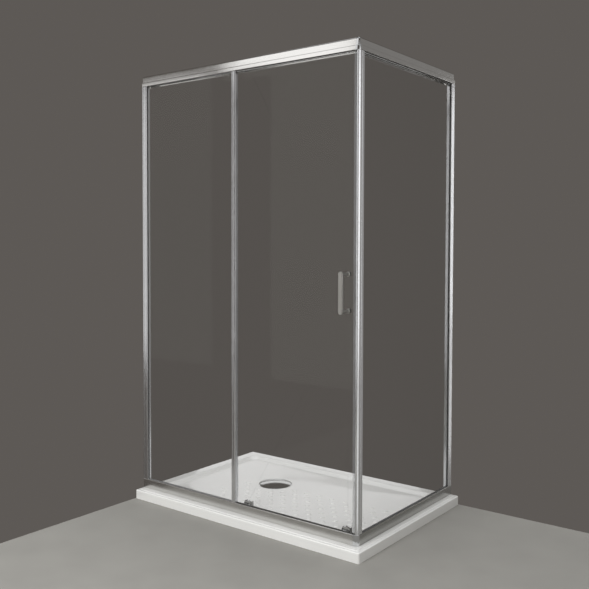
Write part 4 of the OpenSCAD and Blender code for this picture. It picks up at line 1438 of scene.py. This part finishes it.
@dataclass
class Rollers(SubAssembly):
    """The four rollers that carry the door, with caps, housings, springs and wheels.

    Args:
        xs: Places of the lead and trail rollers along the door.
        top_z: Height of the upper caps.
        low_z: Height of the lower caps.
        cap_y: The face that the caps' rims lie on.
        cap_r: Radius of a cap, in millimetres.
        cap_steps: Faces round a cap.
        sunk: How far a cap's foot reaches behind that face.
        slot: Width and depth of the coin slot.
        slot_turn: Turn of the slot, in degrees.
        spring_z: Where the springs start and end at rest.
        coil_r: Radius of a spring's coil to the middle of its wire.
        wire_r: Radius of a spring's wire.
        wire_steps: Faces round the wire.
        turns: Turns of a spring.
        turn_steps: Faces along one turn.
        press: How far a lower roller can be pressed up; not used.
    """

    xs: Pair = (0.501, 0.015)
    top_z: float = 1.86025
    low_z: float = 0.08025
    cap_y: float = -0.3355
    cap_r: float = 20.0
    cap_steps: int = 64
    sunk: float = 0.0004
    slot: Pair = (0.0024, 0.0012)
    slot_turn: float = -45.0
    spring_z: Pair = (0.07915, 0.08975)
    coil_r: float = 0.0022
    wire_r: float = 0.00038
    wire_steps: int = 8
    turns: int = 6
    turn_steps: int = 16
    press: float = 0.006
    body = "door"

    def cap(self) -> Blank:
        """One domed cap with a rolled edge and a coin slot, facing the front."""
        r, foot, crown = self.cap_r, -self.sunk / MM, 3.0
        dome = turned([(0, foot), (r - 0.6, foot), (r - 0.1, -0.1), (r, 0.3), (r - 0.15, 0.9),
                       (r - 0.8, 1.35), (r * 0.8, 2.0), (r * 0.55, 2.55), (r * 0.28, 2.88),
                       (0, crown)], (0, 0, 0), Axis.Y, self.cap_steps, forward=False)
        (width, depth), reach = self.slot, self.cap_r * MM * 1.5
        cutter = block((-reach, -(crown + 1) * MM, -width / 2),
                       (reach, depth - crown * MM, width / 2))
        turn = Matrix.Rotation(math.radians(self.slot_turn), 3, "Y")
        bmesh.ops.rotate(cutter.bm, cent=(0, 0, 0), matrix=turn, verts=cutter.bm.verts)
        return carve(dome, cutter)

    def coil(self, x: float, y: float) -> Blank:
        """A spring's wire, wound up round its axis.

        Args:
            x: Place of the spring along the door.
            y: Its depth.

        Returns:
            The coil.
        """
        low, high = self.spring_z
        blank = Blank()
        wire = bmesh.ops.create_circle(blank.bm, cap_ends=True, radius=self.wire_r,
                                       segments=self.wire_steps)["verts"]
        on_edge = Matrix.Rotation(math.pi / 2, 3, "X")
        bmesh.ops.rotate(blank.bm, cent=(0, 0, 0), matrix=on_edge, verts=wire)
        start = Vector((x + self.coil_r, y, low + self.wire_r))
        bmesh.ops.translate(blank.bm, vec=start, verts=wire)
        steps = self.turn_steps * self.turns
        climb = high - low - 2 * self.wire_r
        bmesh.ops.spin(blank.bm, geom=list(blank.bm.faces), cent=(x, y, low),
                       axis=(0, 0, 1), dvec=(0, 0, climb / steps),
                       angle=math.tau * self.turns, steps=steps, use_merge=False,
                       use_duplicate=False)
        return blank.closed()

    def build(self) -> None:
        """Builds the caps and springs, and dresses the rest."""
        caps, cap = Blank(), self.cap()
        for x in self.xs:
            for z in (self.top_z, self.low_z):
                caps.add(cap, Matrix.Translation((x, self.cap_y - self.sunk, z)))
        cap.bm.free()
        self.place("coin_caps", caps, PALETTE.chrome, "roller_caps")
        for end, x in zip(("lead", "trail"), self.xs, strict=True):
            low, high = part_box(f"{end}_spring")
            y = (low.y + high.y) / 2
            spring = self.place(f"{end}_coil", self.coil(x, y), PALETTE.steel,
                                f"{end}_spring")
            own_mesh(spring)
        self.dress(PALETTE.nylon, "roller_washers", "top_roller_spacers")
        self.dress(PALETTE.steel, "top_roller_bolts", "lower_roller_screws", "lead_carrier",
                   "trail_carrier", edge=0.0002)
        self.dress(PALETTE.nylon, "lower_roller_housings", edge=0.0005)
        self.dress(PALETTE.nylon, "lead_top_wheel", "trail_top_wheel", "lead_low_wheel",
                   "trail_low_wheel")
        self.dress(PALETTE.black, "track_stops", edge=0.0005)


@dataclass
class Softbox:
    """A studio light: a glowing panel that faces a point.

    Args:
        name: Its name.
        place: Where it hangs.
        aim: The point that it faces.
        size: Its width and height.
        power: Its power in watts.
        mirrored: Whether glossy surfaces mirror it.
        sheds: Whether it lights matt surfaces.
    """

    name: str
    place: Point
    aim: Point
    size: Pair
    power: float
    mirrored: bool = True
    sheds: bool = True

    def hang(self) -> None:
        """Adds the light to the scene."""
        lamp = bpy.data.lights.new(self.name, "AREA")
        lamp.shape, lamp.size, lamp.size_y = "RECTANGLE", *self.size
        lamp.energy = self.power
        hung = new_object(self.name, lamp)
        hung.location = self.place
        hung.visible_camera = False
        hung.visible_glossy = self.mirrored
        hung.visible_diffuse = self.sheds
        ahead = Vector(self.aim) - Vector(self.place)
        hung.rotation_euler = ahead.to_track_quat("-Z", "Y").to_euler()


@dataclass
class Studio:
    """The floor, the lights, the surroundings and the camera.

    Args:
        floor_low: Lowest corner of the floor, which stops at the lines of the walls.
        floor_high: Its highest corner.
        floor_finish: The floor's finish.
        air: The colour of the surroundings.
        glow: Their colour where a light falls on them.
        glow_way: The way to that place.
        glow_span: Cosines of the turn from that way where the glow starts and is full.
        sky: Their colour overhead.
        sky_span: Cosines of the turn from upright where the sky starts and is full.
        eye: The camera's place.
        yaw: Its turn from +Y towards -X, in degrees.
        pitch: Its tilt upwards, in degrees.
        roll: Its turn round its own line of sight, in degrees.
        focal: Its focal length in pixels of the photograph.
        photo: The photograph's side in pixels.
        faced: The column and row of the photograph that the lens faces.
    """

    floor_low: Point = (-0.60, -4.0, -0.02)
    floor_high: Point = (4.0, 0.40, 0.0)
    floor_finish: Finish = Moulded("floor", (0.29, 0.283, 0.262), 0.7, 0.004, 0.0002)
    air: Colour = (0.110, 0.100, 0.092)
    glow: Colour = (0.30, 0.29, 0.28)
    glow_way: Point = (0.64, 0.77, 0.2)
    glow_span: Pair = (0.70, 0.96)
    sky: Colour = (0.90, 0.91, 0.93)
    sky_span: Pair = (0.72, 0.92)
    eye: Point = (2.0983, -2.6899, 1.1486)
    yaw: float = 36.472
    pitch: float = -2.002
    roll: float = 0.198
    focal: float = 773.98
    photo: float = 589.0
    faced: Pair = (316.08, 270.33)
    lights: list[Softbox] = field(default_factory=lambda: [
        Softbox("key", (0.3, -3.4, 2.0), (0.0, 0.0, 0.3), (1.4, 1.4), 82.0, mirrored=False),
        Softbox("top", (0.0, 0.1, 3.4), (0.0, 0.1, 0.0), (2.6, 2.2), 45.0, mirrored=False),
        Softbox("edge strip", (0.774, -0.525, 0.975), (0.566, -0.387, 0.975), (0.06, 1.95),
                0.32, sheds=False),
        Softbox("rear panel", (-2.45, 3.35, 1.05), (-0.2, 0.1, 0.4), (2.2, 1.05), 5.4),
        Softbox("side", (3.0, -1.0, 1.35), (0.5, 0.0, 0.6), (1.8, 2.2), 13.0),
        Softbox("back panel", (2.4, 4.32, 1.5), (0.566, 0.38, 1.3), (0.28, 2.3), 4.4),
        Softbox("back panel low", (2.4, 4.32, -0.33), (0.566, 0.38, -0.33), (0.28, 1.35), 1.6),
        Softbox("left panel", (-3.375, -3.0, 1.35), (-3.375, 0.0, 1.35), (1.25, 2.6), 7.4),
        Softbox("front panel", (-1.62, -3.0, 1.28), (-1.62, 0.0, 1.28), (0.94, 2.56), 7.6),
        Softbox("head panel", (-1.875, -3.0, 3.58), (-1.875, 0.0, 3.58), (1.45, 2.04), 9.8)])

    def lay_floor(self) -> None:
        """Lays a plain pale floor up to the lines of the two walls."""
        slab = block(self.floor_low, self.floor_high)
        floor = new_object("studio_floor", slab.mesh("studio_floor"))
        floor.data.materials.append(self.floor_finish.material)

    def surround(self) -> None:
        """Sets a plain colour all round, lit softly from above."""
        recipe = Recipe(bpy.data.worlds.new("surroundings"))
        lit = recipe.towards(self.glow_way, *self.glow_span)
        overhead = recipe.towards(Axis.Z.vector, *self.sky_span)
        shade = recipe.blend(overhead, recipe.blend(lit, self.air, self.glow), self.sky)
        bpy.context.scene.world = recipe.finish({"Color": shade}, "ShaderNodeBackground",
                                                "ShaderNodeOutputWorld")
        bpy.context.scene.view_settings.view_transform = "Standard"

    def aim_camera(self) -> None:
        """Sets the camera where the photograph was taken from."""
        lens = bpy.data.cameras.new("camera")
        lens.sensor_width = 36.0
        lens.lens = self.focal / self.photo * lens.sensor_width
        lens.shift_x = (self.photo / 2 - self.faced[0]) / self.photo
        lens.shift_y = (self.faced[1] - self.photo / 2) / self.photo
        camera = new_object("camera", lens)
        camera.location = self.eye
        yaw, pitch = math.radians(self.yaw), math.radians(self.pitch)
        level = math.cos(pitch)
        ahead = Vector((-math.sin(yaw) * level, math.cos(yaw) * level, math.sin(pitch)))
        upright_turn = ahead.to_track_quat("-Z", "Y").to_matrix()
        roll = Matrix.Rotation(math.radians(self.roll), 3, "Z")
        camera.rotation_euler = (upright_turn @ roll).to_euler()
        bpy.context.scene.camera = camera

    def build(self) -> None:
        """Builds the studio."""
        self.lay_floor()
        self.surround()
        self.aim_camera()
        for light in self.lights:
            light.hang()
        log.info("Studio: %d lights", len(self.lights))


def main() -> None:
    """Builds every sub-assembly in order, then the studio."""
    logging.basicConfig(level=logging.INFO, format="%(message)s")
    parts: list[SubAssembly] = [Tray(), Waste(), Rails(), CornerJoint(), Posts(), Panes(),
                                Handle(), Rollers()]
    for part in parts:
        part.build()
        log.info("%s is ready", type(part).__name__)
    Studio().build()


if __name__ == "__main__":
    main()
